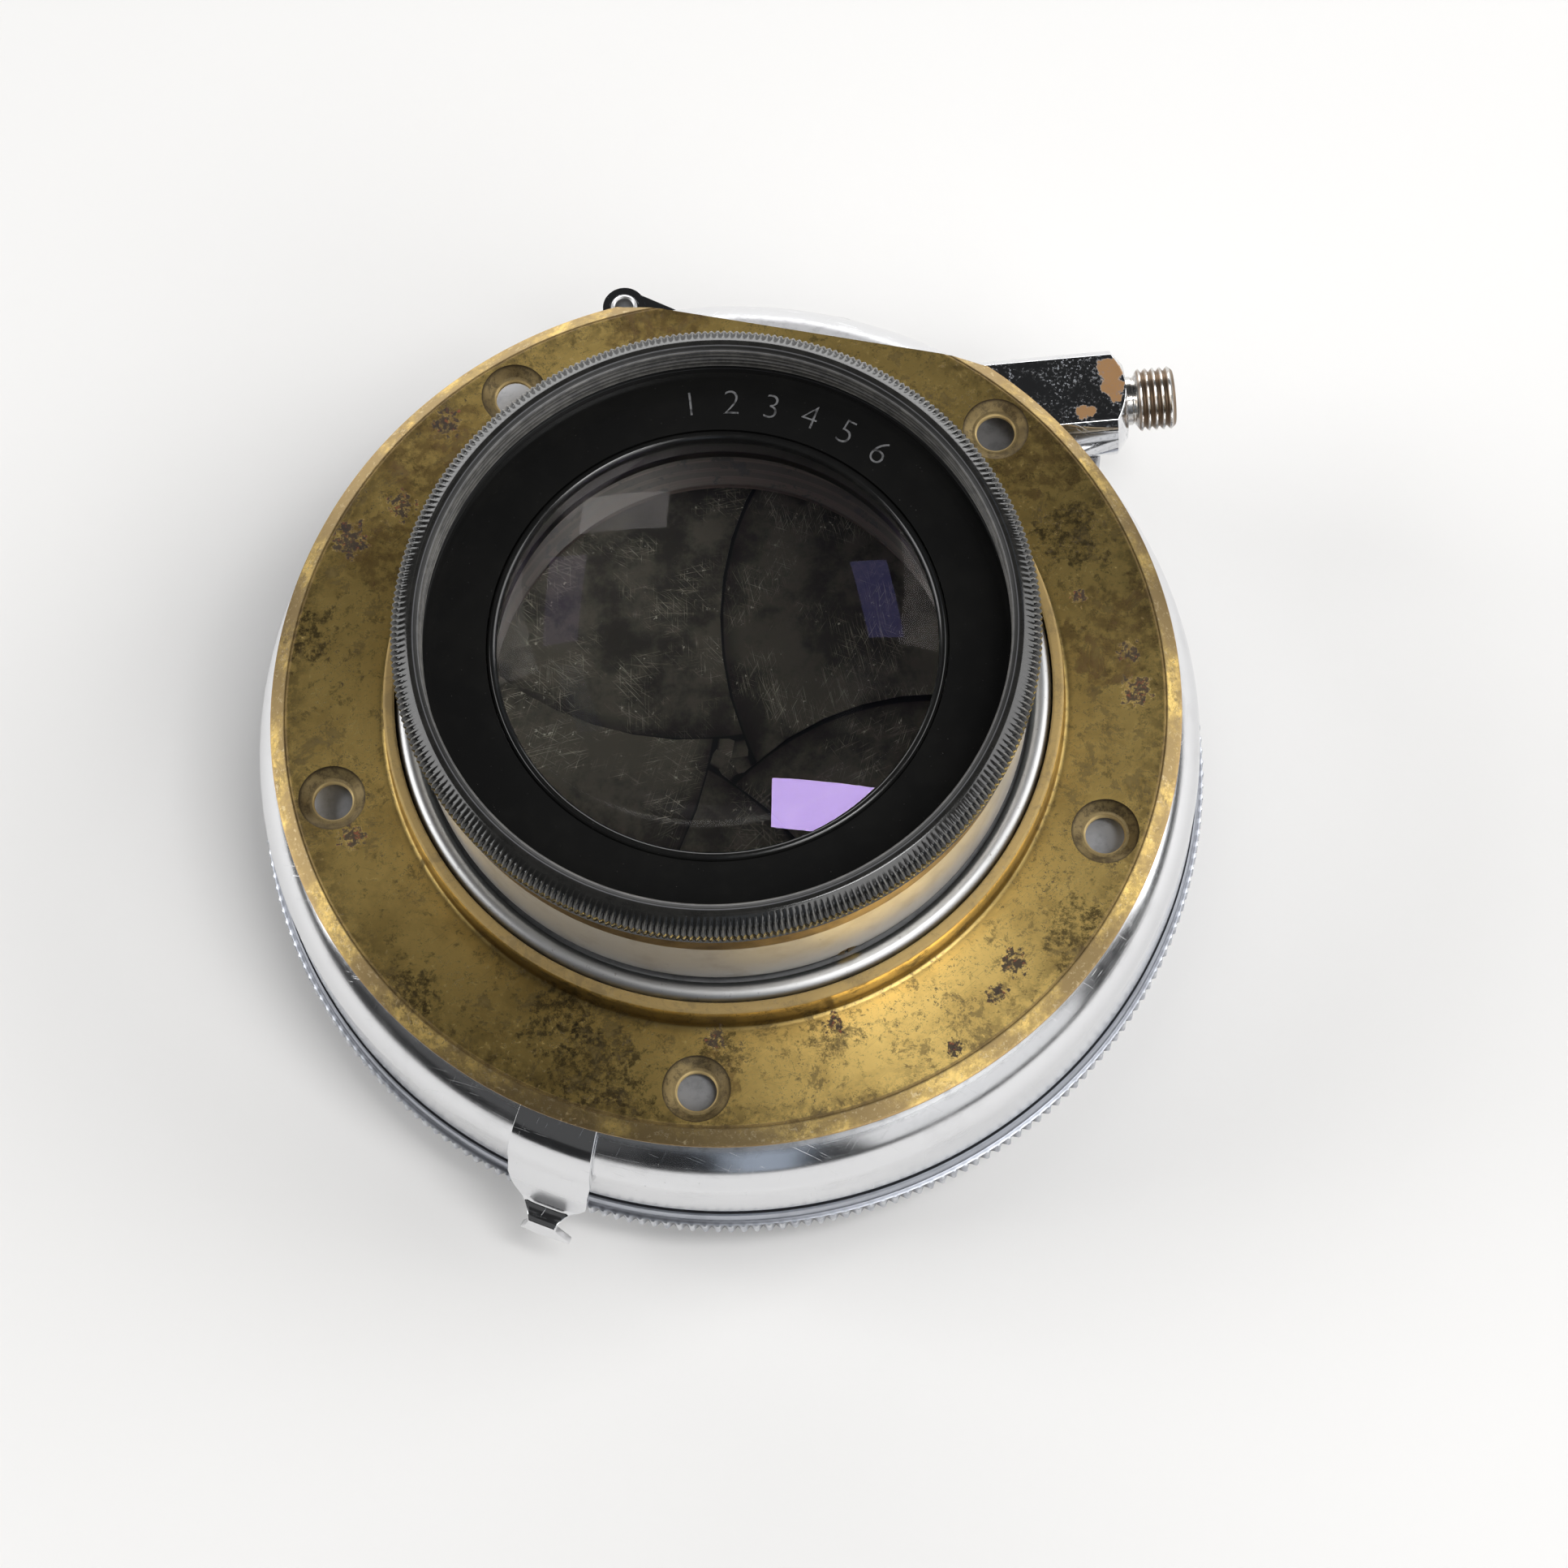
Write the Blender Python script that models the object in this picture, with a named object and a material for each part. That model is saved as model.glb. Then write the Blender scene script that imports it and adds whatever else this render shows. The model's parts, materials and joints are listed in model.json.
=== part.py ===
"""Lens in a rim-set leaf shutter with a brass mounting flange, built from separate solids.

Heights are measured along the optical axis from the flange seat, positive towards the rear
cell.  The finished part stands face down on its front rim; place() moves it there.
"""
import math

import bmesh
import bpy
from mathutils import Matrix, Vector

MM = 0.001

# Overall frame
SEAT_HEIGHT = 27.0            # flange seat above the surface the part stands on
AXIS_Y = -1.6                 # optical axis from the middle of the footprint
FIT = 0.1                     # gap between parts that are screwed or let together
RUN = 0.08                    # radial clearance of a turning pin

# Mounting flange
FLANGE_RADIUS = 42.04
FLANGE_BORE = 30.05
FLANGE_THICKNESS = 1.5
FLANGE_LIP = 31.05            # outside of the turned lip
FLANGE_LIP_TOP = 5.2
FLANGE_CHORD = 38.0           # distance of the straight cut from the axis
FLANGE_CHORD_ANGLE = 74.4
SCREW_CIRCLE = 37.0
SCREW_ANGLES = (-25.4, -98.4, -170.6, -242.1, -318.0)
SCREW_HOLE = 1.85
SCREW_SINK = 3.1

# Shutter housing
BODY_RADIUS = 44.12
BODY_BORE = 42.7
DOME_REACH = 11.7             # half axes of the elliptical section of the domed back
DOME_RISE = 7.0
BACK = -1.0                   # highest level of that dome
BACK_THICKNESS = 1.2
BODY_END = -14.75
NECK_RADIUS = 28.1
NECK_BORE = 25.0
SEAT_RADIUS = 31.5            # raised seat that the flange is screwed down on
LIGHT_RADIUS = 20.5
BAFFLE_RADIUS = 18.0          # narrow end of the rear barrel
SET_SCREW_ANGLE = -71.0
SET_SCREW_HEIGHT = 5.3
SET_SCREW_RADIUS = 1.0

# Iris and shutter leaves
IRIS_COUNT = 8
IRIS_PIVOT = 28.8
IRIS_TOP = -3.4
IRIS_PITCH = 0.27
IRIS_LEAF = 0.17
LEAF_COUNT = 5
LEAF_PIVOT = 34.0
LEAF_SWING = 40.0
LEAF_CLEAR = 22.0             # opening the leaves leave when they are swung back
LEAF_LIMIT = 41.4             # nothing of a leaf goes further out than this
LEAF_TOP = -6.5
LEAF_PITCH = 0.32
LEAF_SHEET = 0.22
LEAF_TURN = 89.0              # angle of the first leaf pivot
LEAF_REACH = 23.6
LEAF_WRAP = 360.0 / LEAF_COUNT + 8.0
LEAF_NOSE = 1.15              # how far a leaf reaches past the axis when it is shut
PIN_RADIUS = 1.0
IRIS_PIN = 0.6

# Aperture lever
TAB_ANGLE = -116.0
TAB_SHEET = 0.8
TAB_TRAVEL = 50.0
STUD_CIRCLE = 33.8

# Cable release socket
SOCKET_Y = 28.9
SOCKET_Z = -4.1
SOCKET_RADIUS = 4.95
SOCKET_TOP = -0.5
SOCKET_INNER = 24.0
SOCKET_OUTER = 40.3
SOCKET_BEVEL = 1.1
SOCKET_FACE = 3.55            # radius of the end face inside its bevel
SOCKET_CLEAR = 41.7           # the socket keeps at least this far from the axis
BORE_RADIUS = 1.35
PLUNGER_RADIUS = 1.27
NIPPLE_NECK = 2.3
THREAD_CREST = 3.0
THREAD_ROOT = 2.6
THREAD_START = 41.4
THREAD_PITCH = 0.69
THREAD_COUNT = 5
NIPPLE_END = 45.0

# Levers
RELEASE_PIVOT = (33.8, 12.3)
RELEASE_TIP = (37.3, 29.6)
RELEASE_LOW = -12.6
RELEASE_HIGH = -11.8
COCKING_ROOT = (70.0, 76.0)
COCKING_LOW = -14.6
COCKING_HIGH = -13.7
EYE_ANGLE = 98.2
EYE_CIRCLE = 46.6

FINE = 64
PLAIN = 40
HIDDEN = 28
SPEED_TEETH = 72
RIM_TEETH = 60
SHARP_ANGLE = 32.0


def clear_scene():
    for item in list(bpy.data.objects):
        bpy.data.objects.remove(item, do_unlink=True)


def material(name, color, metallic, roughness, transmission=0.0):
    mat = bpy.data.materials.new(name)
    mat.use_nodes = True
    shader = mat.node_tree.nodes["Principled BSDF"]
    shader.inputs["Base Color"].default_value = (*color, 1.0)
    shader.inputs["Metallic"].default_value = metallic
    shader.inputs["Roughness"].default_value = roughness
    shader.inputs["Transmission Weight"].default_value = transmission
    mat.diffuse_color = (*color, 1.0)
    return mat


def place(obj, offset=(0.0, 0.0, 0.0)):
    """Puts an object whose own origin is offset from the axis at the flange seat."""
    obj.location = Vector((offset[0], offset[1] + AXIS_Y, offset[2] + SEAT_HEIGHT)) * MM


def finish(name, bm, mat, pivot=(0.0, 0.0, 0.0), smooth=True):
    """Turns a mesh drawn in millimetres about the seat centre into a placed object."""
    bmesh.ops.translate(bm, verts=bm.verts, vec=-Vector(pivot))
    bmesh.ops.scale(bm, verts=bm.verts, vec=(MM, MM, MM))
    bmesh.ops.recalc_face_normals(bm, faces=bm.faces)
    mesh = bpy.data.meshes.new(name)
    bm.to_mesh(mesh)
    bm.free()
    mesh.materials.append(mat)
    obj = bpy.data.objects.new(name, mesh)
    bpy.context.scene.collection.objects.link(obj)
    place(obj, pivot)
    if smooth:
        mesh.shade_smooth()
        mesh.set_sharp_from_angle(angle=math.radians(SHARP_ANGLE))
    return obj


def cut(obj, bm, name, operation="DIFFERENCE"):
    """Takes the solids in bm off an object; they are drawn about the seat centre."""
    cutter = finish(name, bm, obj.data.materials[0], smooth=False)
    cutter.hide_render = True
    cutter.display_type = "WIRE"
    boolean = obj.modifiers.new(name, "BOOLEAN")
    boolean.operation = operation
    boolean.solver = "EXACT"
    boolean.object = cutter


def polar(radius, angle):
    return (radius * math.cos(math.radians(angle)), radius * math.sin(math.radians(angle)))


def turn(bm, profile, steps, grooves=None):
    """Revolves a closed outline of (radius, height); a groove point moves in on odd columns."""
    grooves = grooves or {}
    columns = []
    for step in range(steps):
        angle = 2 * math.pi * step / steps
        column = []
        for index, (radius, height) in enumerate(profile):
            if radius == 0 and step:
                column.append(columns[0][index])
                continue
            deep = grooves.get(index, 0.0) if step % 2 else 0.0
            reach = radius - deep
            column.append(bm.verts.new((reach * math.cos(angle), reach * math.sin(angle), height)))
        columns.append(column)
    count = len(profile)
    for step in range(steps):
        here = columns[step]
        there = columns[(step + 1) % steps]
        for index in range(count):
            after = (index + 1) % count
            corners = [here[index], here[after], there[after], there[index]]
            corners = list(dict.fromkeys(corners))
            if len(corners) > 2:
                bm.faces.new(corners)


def lathe(name, profile, mat, steps=PLAIN, grooves=None):
    bm = bmesh.new()
    turn(bm, profile, steps, grooves)
    return finish(name, bm, mat)


def prism(bm, outline, low, high, holes=()):
    """Upright solid over a flat outline of (x, y), with round holes (x, y, radius) through it."""
    before = list(bm.verts)
    loops = [outline]
    loops += [[(x + radius * math.cos(math.pi * k / 8), y + radius * math.sin(math.pi * k / 8))
               for k in range(16)] for x, y, radius in holes]
    edges = []
    for loop in loops:
        ring = [bm.verts.new((x, y, low)) for x, y in loop]
        edges += [bm.edges.new((ring[k - 1], ring[k])) for k in range(len(ring))]
    flat = bmesh.ops.triangle_fill(bm, edges=edges, use_beauty=True, use_dissolve=False)
    faces = [part for part in flat["geom"] if isinstance(part, bmesh.types.BMFace)]
    grown = bmesh.ops.extrude_face_region(bm, geom=faces, use_keep_orig=True)
    raised = [part for part in grown["geom"] if isinstance(part, bmesh.types.BMVert)]
    bmesh.ops.translate(bm, verts=raised, vec=(0, 0, high - low))
    return [vert for vert in bm.verts if vert not in before]


def box(bm, low, high):
    made = bmesh.ops.create_cube(bm, size=1.0)["verts"]
    size = Vector(high) - Vector(low)
    for vert in made:
        vert.co = Vector(low) + Vector([size[k] * (vert.co[k] + 0.5) for k in range(3)])
    return made


def sector(bm, inner, outer, low, high, start, end, steps=12):
    """Solid arc between two radii and two angles."""
    rows = []
    for step in range(steps + 1):
        angle = start + (end - start) * step / steps
        corners = [(inner, low), (outer, low), (outer, high), (inner, high)]
        rows.append([bm.verts.new((*polar(radius, angle), height)) for radius, height in corners])
    for step in range(steps):
        for k in range(4):
            after = (k + 1) % 4
            bm.faces.new((rows[step][k], rows[step][after], rows[step + 1][after], rows[step + 1][k]))
    bm.faces.new(rows[0][::-1])
    bm.faces.new(rows[-1])


def arc(center, radius, start, end, steps):
    return [(center[0] + radius * math.cos(math.radians(start + (end - start) * k / steps)),
             center[1] + radius * math.sin(math.radians(start + (end - start) * k / steps)))
            for k in range(steps + 1)]


def mounting_flange(brass):
    """Flat ring with a turned lip, five countersunk holes and one straight side."""
    profile = [(FLANGE_BORE, 0.0), (FLANGE_RADIUS, 0.0), (FLANGE_RADIUS, 0.3),
               (40.6, FLANGE_THICKNESS), (FLANGE_LIP + 0.5, FLANGE_THICKNESS), (FLANGE_LIP, 2.1),
               (FLANGE_LIP, 5.0), (FLANGE_LIP - 0.15, FLANGE_LIP_TOP),
               (FLANGE_BORE + 0.1, FLANGE_LIP_TOP), (FLANGE_BORE, 5.1)]
    flange = lathe("mounting_flange", profile, brass, FINE)
    bm = bmesh.new()
    for angle in SCREW_ANGLES:
        hole = bmesh.new()
        sink = FLANGE_THICKNESS - 0.15
        turn(hole, [(0, -1.0), (SCREW_HOLE, -1.0), (SCREW_HOLE, 0.35), (SCREW_SINK, sink),
                    (SCREW_SINK, 3.0), (0, 3.0)], 18)
        bmesh.ops.translate(hole, verts=hole.verts, vec=(*polar(SCREW_CIRCLE, angle), 0))
        temporary = bpy.data.meshes.new("hole")
        hole.to_mesh(temporary)
        hole.free()
        bm.from_mesh(temporary)
        bpy.data.meshes.remove(temporary)
    cut(flange, bm, "flange_hole_cutter")
    side = bmesh.new()
    block = box(side, (FLANGE_CHORD, -30, -1), (FLANGE_CHORD + 10, 30, 3))
    bmesh.ops.rotate(side, verts=block, cent=(0, 0, 0),
                     matrix=Matrix.Rotation(math.radians(FLANGE_CHORD_ANGLE), 3, "Z"))
    cut(flange, side, "flange_side_cutter")


def dome_section(offset, start, end, steps):
    """Section of the domed back of the housing, at a distance outside its outer surface."""
    return [(BODY_RADIUS - DOME_REACH + (DOME_REACH + offset) * x,
             BACK - DOME_RISE + (DOME_RISE + offset) * z)
            for x, z in arc((0, 0), 1.0, start, end, steps)]


def shutter_housing(chrome):
    """Drawn cup with a domed back, a threaded neck and the slots its levers need."""
    profile = [(NECK_BORE, BACK - BACK_THICKNESS), (NECK_BORE, 4.0), (NECK_RADIUS, 4.0),
               (NECK_RADIUS, -0.05), (SEAT_RADIUS, -0.05), (SEAT_RADIUS, BACK),
               *dome_section(0.0, 90, 0, 9),
               (BODY_RADIUS, BODY_END), (BODY_BORE, BODY_END),
               *dome_section(-BACK_THICKNESS, 0, 90, 9)]
    housing = lathe("shutter_housing", profile, chrome, FINE)
    bm = bmesh.new()
    sector(bm, STUD_CIRCLE - 0.9, STUD_CIRCLE + 0.9, BACK - BACK_THICKNESS - 1, BACK + 0.3,
           TAB_ANGLE - 2.5, TAB_ANGLE + TAB_TRAVEL + 2.5)
    sector(bm, 41.0, 46.0, BODY_END - 1, BODY_END + 1.25, COCKING_ROOT[0] - 2, COCKING_ROOT[1] + 33)
    sector(bm, 41.0, 46.0, RELEASE_LOW - 0.4, RELEASE_HIGH + 0.4, 24.0, 49.0, 8)
    near = SOCKET_Y - SOCKET_RADIUS - FIT
    far = SOCKET_Y + SOCKET_RADIUS + FIT
    inside = SOCKET_CLEAR - FIT
    seat = arc((0, 0), inside, math.degrees(math.asin(far / inside)),
               math.degrees(math.asin(near / inside)), 4)
    prism(bm, [(46.0, near), (46.0, far), *seat], SOCKET_Z - SOCKET_RADIUS - FIT, 0.5)
    cut(housing, bm, "housing_slot_cutter")


def rear_cell(silver, brass, black, glass):
    """Barrel, cell, knurled rim and the cemented pair of rear elements."""
    lathe("flange_retaining_ring",
          [(NECK_RADIUS + FIT, 0.1), (FLANGE_BORE - FIT, 0.1), (FLANGE_BORE - FIT, 4.4),
           (29.7, 5.0), (29.2, 5.3), (28.7, 5.1), (28.35, 4.6), (NECK_RADIUS + FIT, 4.1)], silver)
    barrel = lathe("rear_cell_barrel",
                   [(27.9, 4.1), (27.9, 13.85), (26.9, 13.85), (26.9, 8.3), (22.5, 8.3),
                    (BAFFLE_RADIUS, -1.0), (24.9, -1.0), (24.9, 4.1)], silver, FINE)
    bm = bmesh.new()
    turn(bm, [(0, 0), (SET_SCREW_RADIUS + FIT, 0), (SET_SCREW_RADIUS + FIT, 4), (0, 4)], 20)
    set_screw_place(bm, 25.5)
    cut(barrel, bm, "barrel_hole_cutter")
    screw = bmesh.new()
    turn(screw, [(0, 0), (SET_SCREW_RADIUS, 0), (SET_SCREW_RADIUS, 0.75), (0, 0.75)], 20)
    set_screw_place(screw, 26.95)
    finish("barrel_set_screw", screw, brass)
    lathe("rear_cell_mount",
          [(27.0, 17.85), (27.0, 14.9), (20.5, 14.9), (20.5, 9.5), (19.0, 9.5), (19.0, 8.4),
           (26.8, 8.4), (26.8, 13.95), (28.0, 13.95), (28.0, 17.85)], brass)
    lathe("rear_cell_rim",
          [(20.6, 15.0), (26.9, 15.0), (26.9, 17.95), (28.1, 17.95), (28.8, 18.4), (28.8, 19.6),
           (28.2, 20.6), (27.0, 21.25), (26.43, 21.2), (26.3, 16.25), (20.6, 16.25)],
          black, RIM_TEETH * 2, {4: 0.3, 5: 0.3, 6: 0.25})
    lathe("rear_lens_retainer",
          [(19.65, 15.35), (20.5, 15.1), (20.5, 15.9), (20.25, 16.25), (19.9, 16.25),
           (19.65, 15.95)], black)
    crown = dome(20.4, 15.0, 60.0, 5)
    joint = dome(20.4, 13.9, -50.0, 5)
    lathe("rear_lens_outer", crown + joint[::-1], glass, HIDDEN)
    lathe("rear_lens_inner",
          [(r, z - 0.03) for r, z in joint] + dome(20.4, 9.9, -130.0, 4)[::-1], glass, HIDDEN)


def dome(radius, edge, curve, steps):
    """Points from the axis to the rim of a lens surface that rises (or sinks) at the middle."""
    points = []
    for k in range(steps + 1):
        r = radius * k / steps
        points.append((r, edge + (radius * radius - r * r) / (2 * curve)))
    return points


def set_screw_place(bm, depth):
    """Lays a solid drawn along Z into the barrel wall, starting at a distance from the axis."""
    bmesh.ops.rotate(bm, verts=bm.verts, cent=(0, 0, 0), matrix=Matrix.Rotation(math.pi / 2, 3, "Y"))
    bmesh.ops.translate(bm, verts=bm.verts, vec=(depth, 0, SET_SCREW_HEIGHT))
    bmesh.ops.rotate(bm, verts=bm.verts, cent=(0, 0, 0),
                     matrix=Matrix.Rotation(math.radians(SET_SCREW_ANGLE), 3, "Z"))


def front_cell(black, brass, glass):
    """Front barrel with its rim, two elements and the rings that hold them."""
    lathe("front_cell_barrel",
          [(24.9, -9.6), (24.9, -21.05), (26.2, -21.05), (26.2, -25.3), (21.5, -25.3),
           (21.5, -20.8), (16.2, -20.8), (16.2, -19.8), (17.3, -19.8), (17.3, -12.0),
           (20.0, -9.6)], black, HIDDEN)
    lathe("front_cell_rim",
          [(26.3, -21.2), (27.3, -21.2), (27.3, -26.4), (26.8, -SEAT_HEIGHT),
           (22.6, -SEAT_HEIGHT), (22.2, -26.6), (22.2, -25.4), (26.3, -25.4)],
          black, RIM_TEETH, {1: 0.25, 2: 0.25})
    lathe("front_lens_outer", [(0.0, -20.9), (21.4, -20.9)] + dome(21.4, -22.9, -75.0, 5)[::-1],
          glass, HIDDEN)
    lathe("front_lens_retainer",
          [(21.4, -23.0), (21.4, -24.6), (20.6, -24.6), (20.4, -23.35)], black, HIDDEN)
    lathe("front_lens_inner", dome(17.2, -16.0, -148.0, 4) + dome(17.2, -19.75, 98.0, 4)[::-1],
          glass, HIDDEN)
    lathe("front_inner_retainer",
          [(15.8, -15.9), (17.2, -15.8), (17.2, -14.9), (15.8, -14.9)], brass, HIDDEN)


def iris_leaf_outline():
    """Crescent with a pivot eye, drawn for a pivot on the +X side."""
    inner = arc((0, 0), 21.2, -112, -4, 9)
    eye = arc((IRIS_PIVOT, 0), 1.5, 130, -130, 6)
    outer = arc((0, 0), 27.4, -6, -112, 9)
    tip = arc(polar(24.3, -112), 3.1, -112, -292, 4)
    return inner + eye + outer + tip[1:-1]


def shutter_leaf_outline():
    """Leaf that closes a fifth of the opening; its leading edge clears the opening when open."""
    swing = math.radians(LEAF_SWING)
    clear = (LEAF_PIVOT * (1 - math.cos(swing)), LEAF_PIVOT * math.sin(swing))
    away = math.hypot(*clear)
    bearing = math.degrees(math.atan2(clear[1], clear[0]))

    def edge_angle(radius):
        cosine = (radius ** 2 + away ** 2 - LEAF_CLEAR ** 2) / (2 * radius * away)
        return bearing - math.degrees(math.acos(min(1.0, cosine)))

    first = away - LEAF_CLEAR
    radii = [first + (LEAF_REACH - first) * k / 8 for k in range(9)]
    leading = [polar(r, edge_angle(r)) for r in radii]
    trailing = [polar(r, edge_angle(r) - LEAF_WRAP) for r in radii if r < 21.0]
    last = edge_angle(LEAF_REACH) - LEAF_WRAP + 4.0
    outer = []
    for k in range(9):
        angle = -10.0 + (last + 10.0) * k / 8
        toward = away * math.cos(math.radians(angle - bearing))
        limit = toward + math.sqrt(toward ** 2 - away ** 2 + LEAF_LIMIT ** 2)
        outer.append(polar(min(LEAF_REACH, limit), angle))
    eye = arc((LEAF_PIVOT, 0), 2.3, 120, -120, 8)
    nose = arc((0, 0), LEAF_NOSE, bearing - LEAF_WRAP - 40, bearing - 320, 4)
    outline = leading + eye + outer + trailing[::-1] + nose
    return [(x, -y) for x, y in outline]


def leaf_pivot_angle(index):
    return LEAF_TURN - 360.0 * index / LEAF_COUNT


def leaves(steel):
    """Iris leaves above, shutter leaves below, every leaf in its own layer."""
    outline = iris_leaf_outline()
    for k in range(IRIS_COUNT):
        bm = bmesh.new()
        top = IRIS_TOP - k * IRIS_PITCH
        prism(bm, outline, top - IRIS_LEAF, top, [(IRIS_PIVOT, 0, IRIS_PIN + RUN)])
        angle = 360.0 * k / IRIS_COUNT
        bmesh.ops.rotate(bm, verts=bm.verts, cent=(0, 0, 0),
                         matrix=Matrix.Rotation(math.radians(angle), 3, "Z"))
        finish(f"iris_leaf_{k + 1}", bm, steel, (*polar(IRIS_PIVOT, angle), top), smooth=False)
    outline = shutter_leaf_outline()
    for k in range(LEAF_COUNT):
        bm = bmesh.new()
        top = LEAF_TOP - k * LEAF_PITCH
        prism(bm, outline, top - LEAF_SHEET, top, [(LEAF_PIVOT, 0, PIN_RADIUS + RUN)])
        angle = leaf_pivot_angle(k)
        bmesh.ops.rotate(bm, verts=bm.verts, cent=(0, 0, 0),
                         matrix=Matrix.Rotation(math.radians(angle), 3, "Z"))
        finish(f"shutter_leaf_{k + 1}", bm, steel, (*polar(LEAF_PIVOT, angle), top), smooth=False)


def plates(steel, chrome, black):
    """Fixed plates with the leaf pivots, and the two rings that drive the leaves."""
    lathe("iris_plate", [(LIGHT_RADIUS, -6.3), (41.5, -6.3), (41.5, -5.7), (LIGHT_RADIUS, -5.7)],
          black, HIDDEN)
    lathe("shutter_plate", [(LIGHT_RADIUS, -9.4), (41.5, -9.4), (41.5, -8.2),
                            (LIGHT_RADIUS, -8.2)], black, HIDDEN)
    ring = lathe("iris_ring", [(29.5, -3.2), (34.9, -3.2), (34.9, -2.5), (29.5, -2.5)],
                 steel, HIDDEN)
    bm = bmesh.new()
    turn(bm, [(0, -4), (0.8, -4), (0.8, -2), (0, -2)], 16)
    bmesh.ops.translate(bm, verts=bm.verts, vec=(*polar(STUD_CIRCLE, TAB_ANGLE), 0))
    cut(ring, bm, "iris_ring_hole_cutter")
    lathe("leaf_drive_ring", [(27.0, -10.4), (33.3, -10.4), (33.3, -9.6), (27.0, -9.6)],
          steel, HIDDEN)
    for k in range(LEAF_COUNT):
        bm = bmesh.new()
        turn(bm, [(0, -8.12), (PIN_RADIUS, -8.12), (PIN_RADIUS, -6.38), (0, -6.38)], 10)
        angle = leaf_pivot_angle(k)
        bmesh.ops.translate(bm, verts=bm.verts, vec=(*polar(LEAF_PIVOT, angle), 0))
        finish(f"shutter_leaf_pin_{k + 1}", bm, steel)
    for k in range(IRIS_COUNT):
        bm = bmesh.new()
        turn(bm, [(0, -5.65), (IRIS_PIN, -5.65), (IRIS_PIN, -3.27), (0, -3.27)], 8)
        bmesh.ops.translate(bm, verts=bm.verts,
                            vec=(*polar(IRIS_PIVOT, 360.0 * k / IRIS_COUNT), 0))
        finish(f"iris_leaf_pin_{k + 1}", bm, steel)
    lathe("front_plate", [(25.1, -16.0), (42.45, -16.0), (42.45, -14.85), (33.5, -14.85),
                          (33.5, -13.5), (25.1, -13.5)], chrome, HIDDEN)
    lathe("face_cover", [(25.1, -16.1), (34.3, -16.1), (34.3, -20.35), (36.0, -20.35),
                         (35.6, -21.0), (25.1, -21.0)], black, PLAIN)


def speed_ring(chrome):
    lathe("speed_ring",
          [(42.6, -15.1), (44.45, -15.1), (44.45, -16.9), (45.0, -17.0), (45.0, -19.2),
           (44.3, -19.7), (34.5, -20.2), (34.5, -19.0), (42.6, -18.6)],
          chrome, SPEED_TEETH * 2, {3: 0.5, 4: 0.5})


def aperture_lever(chrome):
    """Sheet lever that comes out under the flange, bends over the shoulder and ends in a tab."""
    clear = 0.13
    outside = dome_section(clear + TAB_SHEET, 86, 2, 9)
    inside = dome_section(clear, 86, 2, 9)
    stations = [(*sides, 5.15, 5.15) for sides in zip(outside, inside)]
    stations += [((45.3, -9.5), (44.5, -9.5), 5.1, 5.1), ((46.1, -12.5), (45.3, -12.6), 4.6, 4.7),
                 ((46.4, -14.6), (45.6, -15.0), 3.6, 4.0), ((46.6, -15.0), (45.9, -15.6), 3.1, 2.6),
                 ((48.1, -14.9), (47.5, -15.6), 1.6, 1.5), ((48.4, -15.3), (47.6, -15.8), 1.6, 1.5),
                 ((48.6, -18.9), (47.8, -19.0), 2.6, 3.1)]
    bm = bmesh.new()
    rows = []
    for outer, inner, left, right in stations:
        angles = [TAB_ANGLE - left + (left + right) * k / 4 for k in range(5)]
        row = [bm.verts.new((*polar(outer[0], a), outer[1])) for a in angles]
        row += [bm.verts.new((*polar(inner[0], a), inner[1])) for a in reversed(angles)]
        rows.append(row)
    for first, second in zip(rows, rows[1:]):
        for k in range(10):
            after = (k + 1) % 10
            bm.faces.new((first[k], first[after], second[after], second[k]))
    bm.faces.new(rows[0][::-1])
    bm.faces.new(rows[-1])
    lever = finish("aperture_lever", bm, chrome)
    stud = bmesh.new()
    turn(stud, [(0, -3.1), (0.7, -3.1), (0.7, -1.05), (0, -1.05)], 16)
    bmesh.ops.translate(stud, verts=stud.verts, vec=(*polar(STUD_CIRCLE, TAB_ANGLE), 0))
    finish("aperture_lever_stud", stud, chrome)
    return lever


def along_x(bm):
    """Lays solids drawn along Z on the socket's axis, with Z becoming X."""
    for vert in bm.verts:
        x, y, z = vert.co
        vert.co = (z, y + SOCKET_Y, SOCKET_Z - x)


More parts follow.
